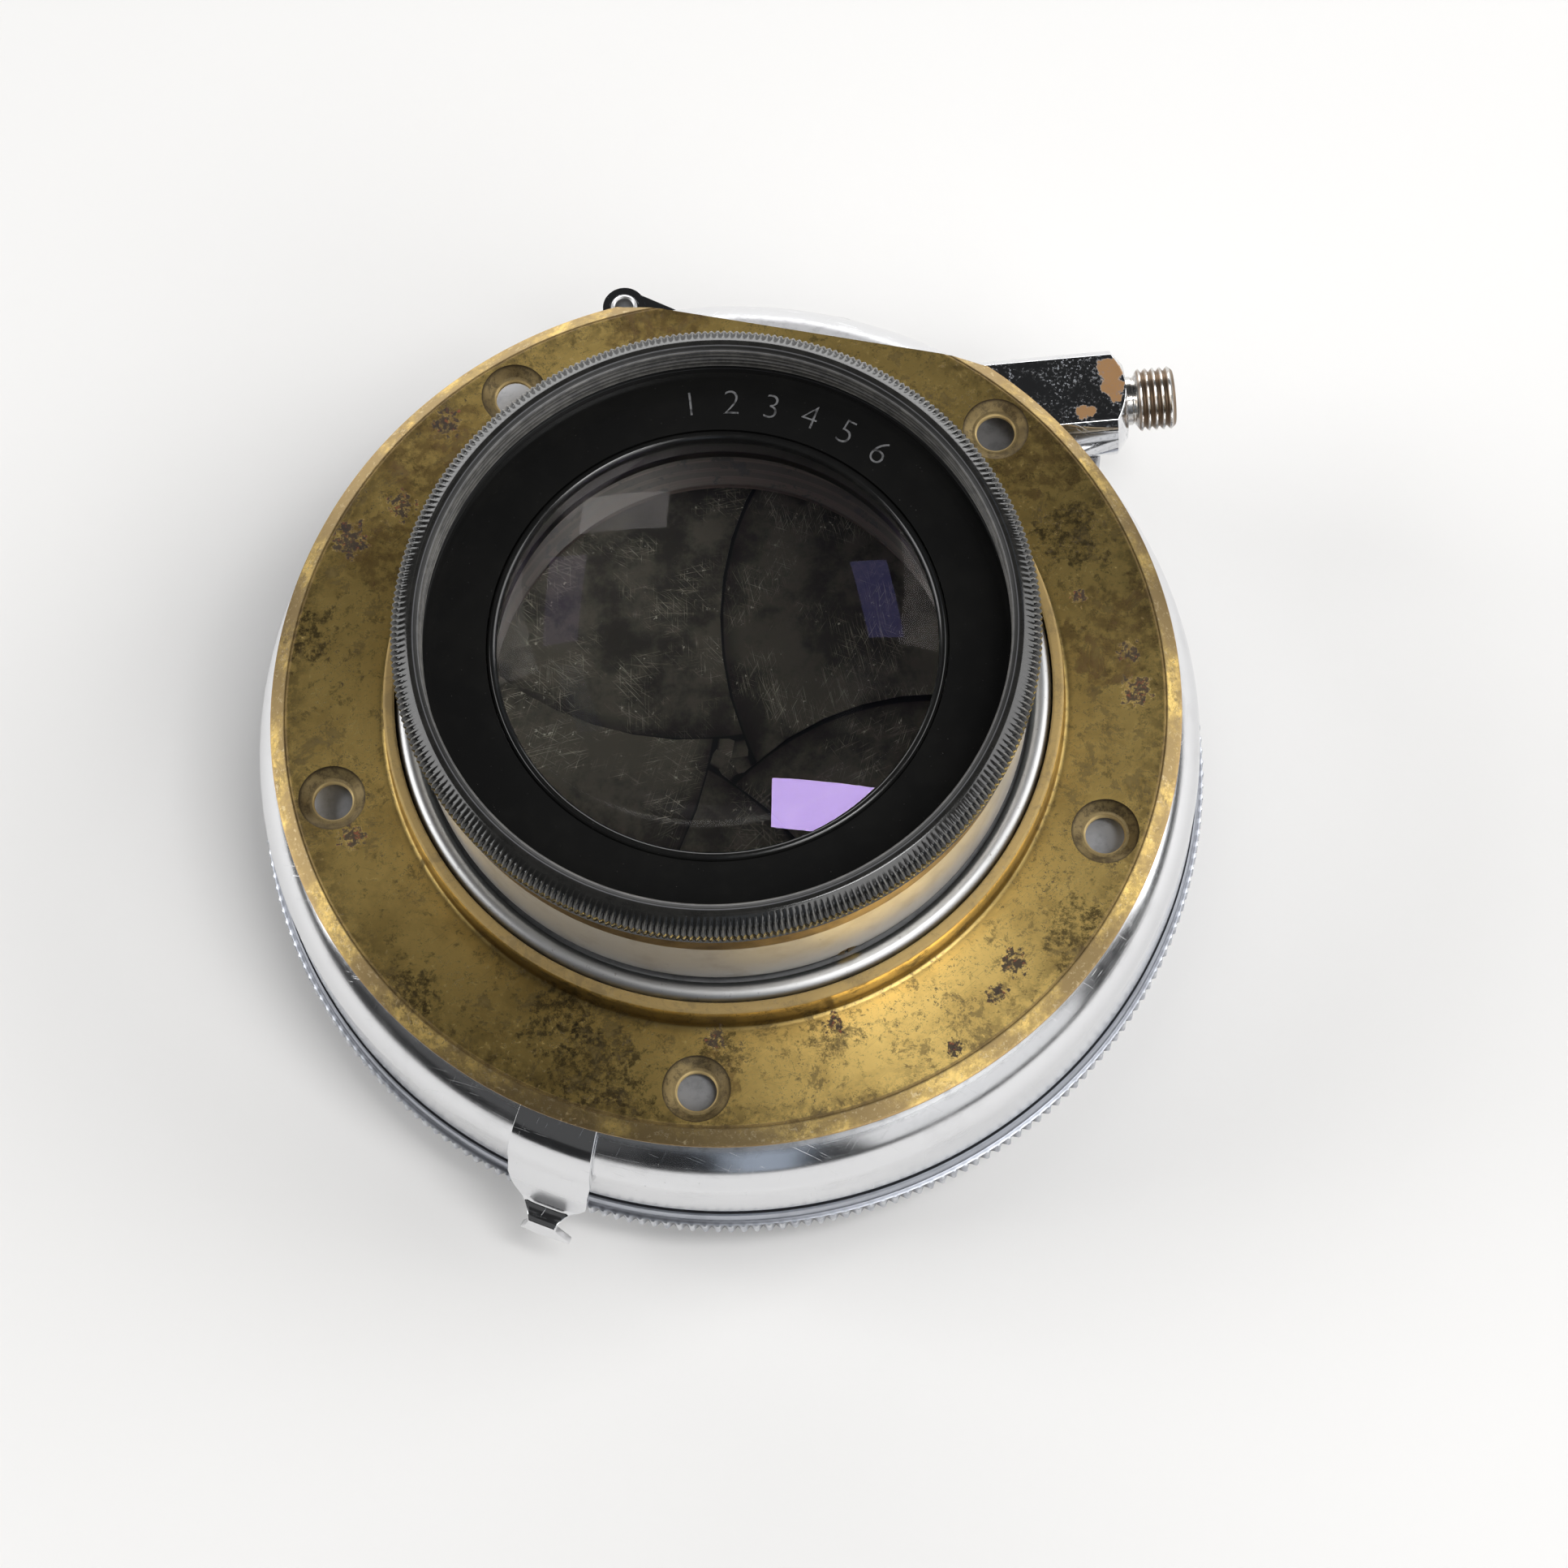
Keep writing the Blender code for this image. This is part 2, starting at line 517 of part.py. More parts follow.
def cable_release(chrome, steel):
    """Round socket with a milled flat, let into the housing, its threaded nipple and the plunger inside."""
    bm = bmesh.new()
    turn(bm, [(0, SOCKET_INNER), (SOCKET_RADIUS, SOCKET_INNER),
              (SOCKET_RADIUS, SOCKET_OUTER - SOCKET_BEVEL), (SOCKET_FACE, SOCKET_OUTER),
              (0, SOCKET_OUTER)], 36)
    along_x(bm)
    parts = bm.verts[:] + bm.edges[:] + bm.faces[:]
    bmesh.ops.bisect_plane(bm, geom=parts, plane_co=(0, 0, SOCKET_TOP), plane_no=(0, 0, 1),
                           clear_outer=True)
    bmesh.ops.holes_fill(bm, edges=[edge for edge in bm.edges if edge.is_boundary])
    block = finish("cable_release_socket", bm, chrome)
    inside = bmesh.new()
    turn(inside, [(0, -10.0), (SOCKET_CLEAR, -10.0), (SOCKET_CLEAR, 1.0), (0, 1.0)], FINE)
    cut(block, inside, "socket_inner_cutter")
    bore = bmesh.new()
    seat = NIPPLE_NECK + FIT
    turn(bore, [(0, 28), (BORE_RADIUS, 28), (BORE_RADIUS, 36.4), (seat, 36.4), (seat, 42), (0, 42)],
         18)
    along_x(bore)
    cut(block, bore, "socket_bore_cutter")
    profile = [(BORE_RADIUS, 36.5), (NIPPLE_NECK, 36.5), (NIPPLE_NECK, THREAD_START)]
    for k in range(THREAD_COUNT):
        base = THREAD_START + THREAD_PITCH * k
        profile += [(THREAD_ROOT, base + 0.05), (THREAD_CREST, base + THREAD_PITCH / 2)]
    profile += [(THREAD_ROOT, NIPPLE_END), (BORE_RADIUS + 0.25, NIPPLE_END),
                (BORE_RADIUS, NIPPLE_END - 0.3)]
    nipple = bmesh.new()
    turn(nipple, profile, 18)
    along_x(nipple)
    finish("cable_release_nipple", nipple, chrome)
    pin = bmesh.new()
    turn(pin, [(0, 33.4), (PLUNGER_RADIUS, 33.4), (PLUNGER_RADIUS, 44.3), (0, 44.3)], 18)
    along_x(pin)
    finish("cable_release_plunger", pin, steel, (38.0, SOCKET_Y, SOCKET_Z))


def release_lever(chrome, steel):
    """Flat lever pivoted inside the housing; its finger tab stands under the cable socket."""
    pivot = Vector(RELEASE_PIVOT)
    tip = Vector(RELEASE_TIP)
    along = (tip - pivot).normalized()
    side = Vector((-along.y, along.x)) * 1.25
    heading = math.degrees(math.atan2(along.y, along.x))
    outline = arc(pivot, 2.4, heading + 130, heading + 230, 6)
    outline += [tuple(pivot - side * 1.2), tuple(tip - side), tuple(tip + side),
                tuple(pivot + side * 1.2)]
    bm = bmesh.new()
    prism(bm, outline, RELEASE_LOW, RELEASE_HIGH, [(pivot.x, pivot.y, 1.2 + RUN)])
    lever = finish("release_lever", bm, chrome, (*RELEASE_PIVOT, RELEASE_HIGH))
    tab = bmesh.new()
    foot = tip - along * 0.9
    box(tab, (-0.45, -1.2, RELEASE_HIGH - 0.3), (0.45, 1.2, -9.4))
    bmesh.ops.rotate(tab, verts=tab.verts, cent=(0, 0, 0),
                     matrix=Matrix.Rotation(math.radians(heading), 3, "Z"))
    bmesh.ops.translate(tab, verts=tab.verts, vec=(foot.x, foot.y, 0))
    cut(lever, tab, "release_tab_joiner", "UNION")
    pin = bmesh.new()
    turn(pin, [(0, -13.3), (1.2, -13.3), (1.2, -9.45), (0, -9.45)], 20)
    bmesh.ops.translate(pin, verts=pin.verts, vec=(*RELEASE_PIVOT, 0))
    finish("release_lever_pin", pin, steel)


def cocking_lever(chrome):
    """Ring round the front boss with a strap that leaves the housing and ends in a rolled eye."""
    lever = lathe("cocking_lever", [(34.0, COCKING_LOW), (39.5, COCKING_LOW),
                                    (39.5, COCKING_HIGH), (34.0, COCKING_HIGH)], chrome, HIDDEN)
    root = bmesh.new()
    sector(root, 39.0, 45.4, COCKING_LOW + 0.05, COCKING_HIGH - 0.05, *COCKING_ROOT, 4)
    cut(lever, root, "cocking_root_joiner", "UNION")
    strap = bmesh.new()
    sector(strap, 44.55, 45.35, COCKING_LOW + 0.1, -9.6, COCKING_ROOT[0] + 0.4, EYE_ANGLE - 1.0, 10)
    cut(lever, strap, "cocking_strap_joiner", "UNION")
    eye = bmesh.new()
    turn(eye, [(1.0, -13.4), (2.1, -13.4), (2.1, -9.5), (1.0, -9.5)], 24)
    bmesh.ops.translate(eye, verts=eye.verts, vec=(*polar(EYE_CIRCLE, EYE_ANGLE), 0))
    cut(lever, eye, "cocking_eye_joiner", "UNION")


def build():
    clear_scene()
    brass = material("tarnished_brass", (0.42, 0.28, 0.09), 1.0, 0.38)
    chrome = material("polished_chrome", (0.82, 0.83, 0.85), 1.0, 0.08)
    silver = material("satin_nickel", (0.62, 0.60, 0.55), 1.0, 0.35)
    black = material("black_enamel", (0.012, 0.012, 0.013), 0.0, 0.4)
    steel = material("blackened_steel", (0.05, 0.048, 0.042), 0.8, 0.45)
    glass = material("coated_glass", (0.9, 0.92, 0.95), 0.0, 0.02, 0.9)
    mounting_flange(brass)
    shutter_housing(chrome)
    rear_cell(silver, brass, black, glass)
    front_cell(black, brass, glass)
    leaves(steel)
    plates(steel, chrome, black)
    speed_ring(chrome)
    aperture_lever(chrome)
    cable_release(chrome, steel)
    release_lever(chrome, steel)
    cocking_lever(chrome)


build()
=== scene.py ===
"""Looks for the lens in its leaf shutter: finer pieces, procedural materials, light and camera."""
import json
import math

import bmesh
import bpy
from mathutils import Matrix, Quaternion, Vector


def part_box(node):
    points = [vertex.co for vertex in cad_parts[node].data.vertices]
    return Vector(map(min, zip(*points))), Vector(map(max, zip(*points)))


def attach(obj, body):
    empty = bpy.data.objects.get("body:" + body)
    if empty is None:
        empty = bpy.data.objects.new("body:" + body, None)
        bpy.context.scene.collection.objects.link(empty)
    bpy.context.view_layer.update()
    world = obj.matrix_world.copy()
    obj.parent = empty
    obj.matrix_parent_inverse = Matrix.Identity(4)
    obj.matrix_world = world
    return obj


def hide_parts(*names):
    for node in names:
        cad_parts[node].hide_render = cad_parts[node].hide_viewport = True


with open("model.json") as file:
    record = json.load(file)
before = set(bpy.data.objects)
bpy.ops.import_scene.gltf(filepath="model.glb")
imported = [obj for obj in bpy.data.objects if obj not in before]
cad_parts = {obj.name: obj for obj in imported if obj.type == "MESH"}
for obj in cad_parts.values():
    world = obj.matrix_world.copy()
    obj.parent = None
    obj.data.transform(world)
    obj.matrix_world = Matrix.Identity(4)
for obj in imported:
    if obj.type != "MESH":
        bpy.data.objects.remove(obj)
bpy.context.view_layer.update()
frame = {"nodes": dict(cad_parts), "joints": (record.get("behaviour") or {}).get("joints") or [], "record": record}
JOINTS = {joint["name"]: joint for joint in frame["joints"]}

MM = 0.001
ROOT = "shutter_body"
AXIS = Vector(JOINTS["speed_ring_turn"]["pos_m"]) / MM
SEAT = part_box("mounting_flange")[0][2] / MM
ORIGIN = Vector((AXIS.x, AXIS.y, SEAT))

# Camera, set once for the whole view
CAMERA_TARGET = Vector((4.776, -8.079, 0.0))
CAMERA_DISTANCE = 408.8
CAMERA_ELEVATION = 70.24
CAMERA_ROLL = -5.09
CAMERA_LENS = 102.5
CAMERA_SENSOR = 36.0

# Sizes are in millimetres about the centre of the flange's seat, angles in degrees
ROUND = 256                    # columns of a turned piece

FLANGE_FACE = 1.5
FLANGE_HOLES = (-25.4, -98.4, -170.6, -242.1, -318.0)
SCREW_CIRCLE = 37.0
SINK_RADIUS = 3.08             # countersink of a screw hole
SIDE_DISTANCE = 38.0           # the flange's straight side: how far it is from the axis
SIDE_ANGLE = 74.4              # and the direction it faces

WALL_RADIUS = 44.12
WALL_END = -14.73
SHELL_SHEET = 1.15
DOME_MIDDLE = Vector((32.42, -8.0))   # (radius, height) about which the housing's back is domed
DOME_REACH = 11.7              # half axes of the dome's elliptical section
DOME_RISE = 7.0

RIM_TEETH = 313
RIM_KNURLED = range(2, 12)     # outline points of the rim that carry its knurl
RIM_KNURL_DEPTH = 0.26
RIM_TOP = range(12, 16)        # outline points of the smooth ledge above the knurl
THREADS = 5
THREAD_PITCH = 0.72
GLASS_RADIUS = 20.4
GLASS_STEPS = 24
SET_SCREW_HEIGHT = 5.3
SET_SCREW_ANGLE = -71.0
FIGURE_ANGLES = (91.5, 82.3, 73.3, 64.3, 55.4, 46.5)
FIGURE_CIRCLE = 23.15
FIGURE_SIZE = 3.5
SPEED_TEETH = 235

TAB_ANGLE = -116.0             # middle of the aperture lever's tab
TAB_COLUMNS = 10
EYE_CIRCLE = 46.6              # middle of the cocking lever's eye
EYE_ANGLE = 98.2

SOCKET_Y = 28.9
SOCKET_Z = -4.1
SOCKET_RADIUS = 4.93
NIPPLE_BASE = 41.4             # where the nipple's thread begins, along the socket
NIPPLE_CRESTS = 5
NIPPLE_PITCH = 0.69

LEAVES = 5
LEAF_SHEET = 0.05
LEAF_LEVEL = -7.3
LEAF_TILT = 0.035              # rise of a leaf towards its leading edge, per millimetre
LEAF_LEAN = 52.0               # direction of that rise, back from the leaf's pivot
LEAF_CLEAR = 22.0              # radius of the arc that a leaf's leading edge follows
LEAF_EDGE_CIRCLE = 23.26       # distance of that arc's centre from the axis
LEAF_EDGE_TURN = 70.0          # and its angle back from the leaf's pivot

# Places of stains on the flange: (distance from the axis, angle, size)
BLACK = ((36.5, -49, 1.3), (37.6, -54, 0.9), (37.8, -4, 1.5), (37.4, 2, 1.1), (38.6, 150, 1.6),
         (36.3, -164, 1.2), (36.3, 142, 1.3), (32.6, -77, 0.9), (32.3, -96, 1.0), (38.5, 128, 1.4),
         (39.2, -63, 0.8), (34.2, 12, 0.8))
BROWN = ((37.5, 132, 6.0), (38.5, 95, 5.0), (36.0, 5, 5.5), (38.0, 35, 4.5), (36.0, -96, 3.0),
         (35.0, 150, 4.0))
MOTTLED = ((37.5, -112, 4.5), (33.5, -120, 3.5), (39.5, -140, 2.5), (38.8, -40, 3.0),
           (33.3, -78, 2.5), (39.5, 165, 3.0), (35.5, 22, 3.5), (33.5, -95, 2.0))

# Places where the block's plating has flaked off: (place, size)
FLAKES = (((38.9, 30.7, -0.5), 1.30), ((39.1, 29.0, -0.5), 1.25), ((39.2, 27.8, -0.5), 0.6),
          ((35.9, 26.6, -0.5), 0.75), ((36.7, 26.6, -0.5), 0.6))


# ---------------------------------------------------------------- mesh helpers

def polar(radius, angle):
    turn = math.radians(angle)
    return (radius * math.cos(turn), radius * math.sin(turn))


def arc(center, radius, start, end, steps):
    points = []
    for k in range(steps + 1):
        x, y = polar(radius, start + (end - start) * k / steps)
        points.append((center[0] + x, center[1] + y))
    return points


def rounded(profile, radius, steps=3):
    """Closed outline with its sharp corners turned into small arcs."""
    result = []
    count = len(profile)
    for index, point in enumerate(profile):
        here = Vector(point)
        before = Vector(profile[index - 1]) - here
        after = Vector(profile[(index + 1) % count]) - here
        reach = min(radius, before.length * 0.4, after.length * 0.4)
        if before.angle(after) > math.radians(150):
            result.append(tuple(here))
            continue
        first = here + before.normalized() * reach
        last = here + after.normalized() * reach
        for k in range(steps + 1):
            t = k / steps
            blend = first * (1 - t) ** 2 + here * 2 * t * (1 - t) + last * t ** 2
            result.append(tuple(blend))
    return result


def revolve(bm, profile, steps=ROUND, wave=None):
    """Revolves a closed (radius, height) outline; wave gives the inward depth of a column."""
    columns = []
    for step in range(steps):
        angle = 2 * math.pi * step / steps
        column = []
        for index, (radius, height) in enumerate(profile):
            if radius == 0 and step:
                column.append(columns[0][index])
                continue
            reach = radius - (wave(index, step) if wave else 0.0)
            column.append(bm.verts.new((reach * math.cos(angle), reach * math.sin(angle), height)))
        columns.append(column)
    count = len(profile)
    for step in range(steps):
        here = columns[step]
        there = columns[(step + 1) % steps]
        for index in range(count):
            after = (index + 1) % count
            corners = [here[index], here[after], there[after], there[index]]
            corners = list(dict.fromkeys(corners))
            if len(corners) > 2:
                bm.faces.new(corners)
    return columns


def sector(bm, inner, outer, low, high, start, end, steps=24):
    """Block between two radii, two heights and two angles."""
    rows = []
    for step in range(steps + 1):
        angle = start + (end - start) * step / steps
        corners = [(inner, low), (outer, low), (outer, high), (inner, high)]
        rows.append([bm.verts.new((*polar(radius, angle), height)) for radius, height in corners])
    for step in range(steps):
        for k in range(4):
            after = (k + 1) % 4
            bm.faces.new((rows[step][k], rows[step][after], rows[step + 1][after], rows[step + 1][k]))
    bm.faces.new(rows[0][::-1])
    bm.faces.new(rows[-1])


def box(bm, low, high):
    made = bmesh.ops.create_cube(bm, size=1.0)["verts"]
    size = Vector(high) - Vector(low)
    for vert in made:
        vert.co = Vector(low) + Vector([size[k] * (vert.co[k] + 0.5) for k in range(3)])


def prism(bm, plan, low, high):
    """Upright block over a four-cornered plan."""
    lower = [bm.verts.new((*point, low)) for point in plan]
    upper = [bm.verts.new((*point, high)) for point in plan]
    bm.faces.new(lower)
    bm.faces.new(upper[::-1])
    for k in range(4):
        after = (k + 1) % 4
        bm.faces.new((lower[k], upper[k], upper[after], lower[after]))


def add(bm, other):
    mesh = bpy.data.meshes.new("temporary")
    other.to_mesh(mesh)
    other.free()
    bm.from_mesh(mesh)
    bpy.data.meshes.remove(mesh)


def add_object(name, data):
    obj = bpy.data.objects.new(name, data)
    bpy.context.scene.collection.objects.link(obj)
    return obj


def to_object(name, bm, origin=None):
    """Object from a mesh drawn in millimetres about the flange seat's centre."""
    bmesh.ops.scale(bm, verts=bm.verts, vec=(MM, MM, MM))
    bmesh.ops.recalc_face_normals(bm, faces=bm.faces)
    mesh = bpy.data.meshes.new(name)
    bm.to_mesh(mesh)
    bm.free()
    obj = add_object(name, mesh)
    obj.location = (origin or ORIGIN) * MM
    return obj


def bake(obj):
    """Turns an object's modifiers into its mesh."""
    graph = bpy.context.evaluated_depsgraph_get()
    mesh = bpy.data.meshes.new_from_object(obj.evaluated_get(graph))
    obj.modifiers.clear()
    obj.data = mesh


def combine(obj, other, operation="DIFFERENCE"):
    """Cuts the other object away, joins it or keeps what both share; the other one is used up."""
    boolean = obj.modifiers.new("carve", "BOOLEAN")
    boolean.operation = operation
    boolean.solver = "EXACT"
    boolean.object = other
    bake(obj)
    bpy.data.objects.remove(other, do_unlink=True)


def carve(obj, bm, operation="DIFFERENCE"):
    combine(obj, to_object("cutter", bm), operation)


def soften(obj, width, segments=2, angle=40):
    bevel = obj.modifiers.new("edges", "BEVEL")
    bevel.width = width * MM
    bevel.segments = segments
    bevel.limit_method = "ANGLE"
    bevel.angle_limit = math.radians(angle)
    bevel.harden_normals = False
    bake(obj)


def piece(obj, mat, body, nodes=(), smooth=35):
    """Finishes a visible piece: material, shading, its body and the nodes it stands for."""
    obj.data.materials.clear()
    obj.data.materials.append(mat)
    obj.data.shade_smooth()
    obj.data.set_sharp_from_angle(angle=math.radians(smooth))
    flatter = obj.modifiers.new("flatter", "WEIGHTED_NORMAL")
    flatter.keep_sharp = True
    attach(obj, body)
    if nodes:
        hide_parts(*nodes)
    return obj


def turned(name, profile, mat, nodes=(), body=ROOT, corner=0.08, steps=ROUND, wave=None):
    """A finished piece turned about the optical axis."""
    bm = bmesh.new()
    revolve(bm, rounded(profile, corner) if corner else profile, steps, wave)
    return piece(to_object(name, bm), mat, body, nodes)


# ------------------------------------------------------------ material helpers

class Surface:
    """A Principled material and the nodes that feed it; positions are in millimetres."""

    def __init__(self, name, color, metallic, roughness):
        self.mat = bpy.data.materials.new(name)
        self.mat.use_nodes = True
        self.tree = self.mat.node_tree
        self.shader = self.tree.nodes["Principled BSDF"]
        self.shader.inputs["Base Color"].default_value = (*color, 1)
        self.shader.inputs["Metallic"].default_value = metallic
        self.shader.inputs["Roughness"].default_value = roughness
        self.color = color
        self.roughness = roughness
        coords = self.tree.nodes.new("ShaderNodeTexCoord")
        self.where = self.vector("SCALE", coords.outputs["Object"], scale=1 / MM)

    def put(self, socket, value):
        if isinstance(value, bpy.types.NodeSocket):
            self.tree.links.new(value, socket)
        else:
            socket.default_value = value

    def vector(self, operation, first, second=None, scale=None):
        node = self.tree.nodes.new("ShaderNodeVectorMath")
        node.operation = operation
        self.put(node.inputs[0], first)
        if second is not None:
            self.put(node.inputs[1], second)
        if scale is not None:
            node.inputs["Scale"].default_value = scale
        return node.outputs["Value"] if operation in ("LENGTH", "DISTANCE") else node.outputs["Vector"]

    def math(self, operation, first, second=0.0, clamp=False):
        node = self.tree.nodes.new("ShaderNodeMath")
        node.operation = operation
        node.use_clamp = clamp
        self.put(node.inputs[0], first)
        self.put(node.inputs[1], second)
        return node.outputs[0]

    def noise(self, size, detail=4.0, vector=None, rough=0.6, distortion=0.0):
        """Noise whose features are about size millimetres across."""
        node = self.tree.nodes.new("ShaderNodeTexNoise")
        node.inputs["Scale"].default_value = 1.0 / size
        node.inputs["Detail"].default_value = detail
        node.inputs["Roughness"].default_value = rough
        node.inputs["Distortion"].default_value = distortion
        self.put(node.inputs["Vector"], vector or self.where)
        return node.outputs["Fac"]

    def band(self, value, low, high):
        """0 below low, 1 above high; low may be the greater for the reverse."""
        node = self.tree.nodes.new("ShaderNodeMapRange")
        node.clamp = True
        node.interpolation_type = "SMOOTHSTEP"
        self.put(node.inputs["Value"], value)
        start, end = (low, high) if low < high else (high, low)
        node.inputs["From Min"].default_value = start
        node.inputs["From Max"].default_value = end
        node.inputs["To Min"].default_value = 0.0 if low < high else 1.0
        node.inputs["To Max"].default_value = 1.0 if low < high else 0.0
        return node.outputs["Result"]

    def mix(self, factor, first, second):
        node = self.tree.nodes.new("ShaderNodeMix")
        node.data_type = "RGBA"
        self.put(node.inputs["Factor"], factor)
        for socket, value in ((node.inputs["A"], first), (node.inputs["B"], second)):
            value = (*value, 1) if isinstance(value, tuple) and len(value) == 3 else value
            target = [s for s in node.inputs if s.name == socket.name and s.type == "RGBA"][0]
            self.put(target, value)
        return [s for s in node.outputs if s.type == "RGBA"][0]

    def times(self, first, *others):
        product = first
        for factor in others:
            product = self.math("MULTIPLY", product, factor)
        return product

    def either(self, first, second):
        return self.math("MAXIMUM", first, second)

    def tint(self, factor, color, strength=1.0):
        """Lays a colour over what the surface has so far."""
        if strength < 1.0:
            factor = self.times(factor, strength)
        socket = self.shader.inputs["Base Color"]
        before = socket.links[0].from_socket if socket.links else self.color
        self.put(socket, self.mix(factor, before, color))

    def rough(self, factor, value):
        """Changes the roughness to a value where the factor is 1."""
        socket = self.shader.inputs["Roughness"]
        before = socket.links[0].from_socket if socket.links else self.roughness
        change = self.times(self.math("SUBTRACT", value, before), factor)
        self.put(socket, self.math("ADD", change, before, clamp=True))

    def metal(self, factor, value, base):
        """Changes the metallic value, which is base so far, where the factor is 1."""
        socket = self.shader.inputs["Metallic"]
        before = socket.links[0].from_socket if socket.links else base
        change = self.times(self.math("SUBTRACT", value, before), factor)
        self.put(socket, self.math("ADD", change, before))

    def bump(self, height, depth, strength=1.0):
        node = self.tree.nodes.new("ShaderNodeBump")
        node.inputs["Strength"].default_value = strength
        node.inputs["Distance"].default_value = depth * MM
        self.put(node.inputs["Height"], height)
        normal = self.shader.inputs["Normal"]
        if normal.links:
            self.put(node.inputs["Normal"], normal.links[0].from_socket)
        self.put(normal, node.outputs["Normal"])

    def flat(self):
        return self.vector("MULTIPLY", self.where, (1, 1, 0))

    def radius(self):
        return self.vector("LENGTH", self.flat())

    def along(self, axis):
        node = self.tree.nodes.new("ShaderNodeSeparateXYZ")
        self.put(node.inputs[0], self.where)
        return node.outputs[axis]

    def height(self):
        return self.along("Z")

    def turning(self, pitch):
        """Fine lines that run round the axis, as a lathe leaves them."""
        node = self.tree.nodes.new("ShaderNodeCombineXYZ")
        self.put(node.inputs["X"], self.radius())
        self.put(node.inputs["Y"], self.height())
        return self.noise(pitch, 3.0, node.outputs["Vector"], 0.7)

    def scratches(self, length, width, angle, cutoff):
        """Thin straight marks along one direction."""
        node = self.tree.nodes.new("ShaderNodeVectorRotate")
        node.rotation_type = "Z_AXIS"
        node.inputs["Angle"].default_value = math.radians(angle)
        self.put(node.inputs["Vector"], self.where)
        stretched = self.vector("MULTIPLY", node.outputs["Vector"], (1 / length, 1 / width, 1 / length))
        marks = self.noise(1.0, 2.0, stretched, 0.5, 0.3)
        return self.band(marks, cutoff, cutoff + 0.06)

    def wear(self):
        """How far a vertex is worn, as the mesh says."""
        node = self.tree.nodes.new("ShaderNodeAttribute")
        node.attribute_name = "wear"
        return node.outputs["Fac"]

    def near(self, point, reach, ragged=0.5):
        """1 within reach of a point, with an uneven edge."""
        gap = self.vector("DISTANCE", self.where, point)
        uneven = self.math("SUBTRACT", self.noise(reach * 0.6, 5.0), 0.5)
        rag = self.times(uneven, reach * ragged * 4)
        return self.band(self.math("ADD", gap, rag), reach, reach * 0.8)


def stains(s, places, ragged):
    return [s.near((*polar(reach, angle), FLANGE_FACE), size, ragged) for reach, angle, size in places]


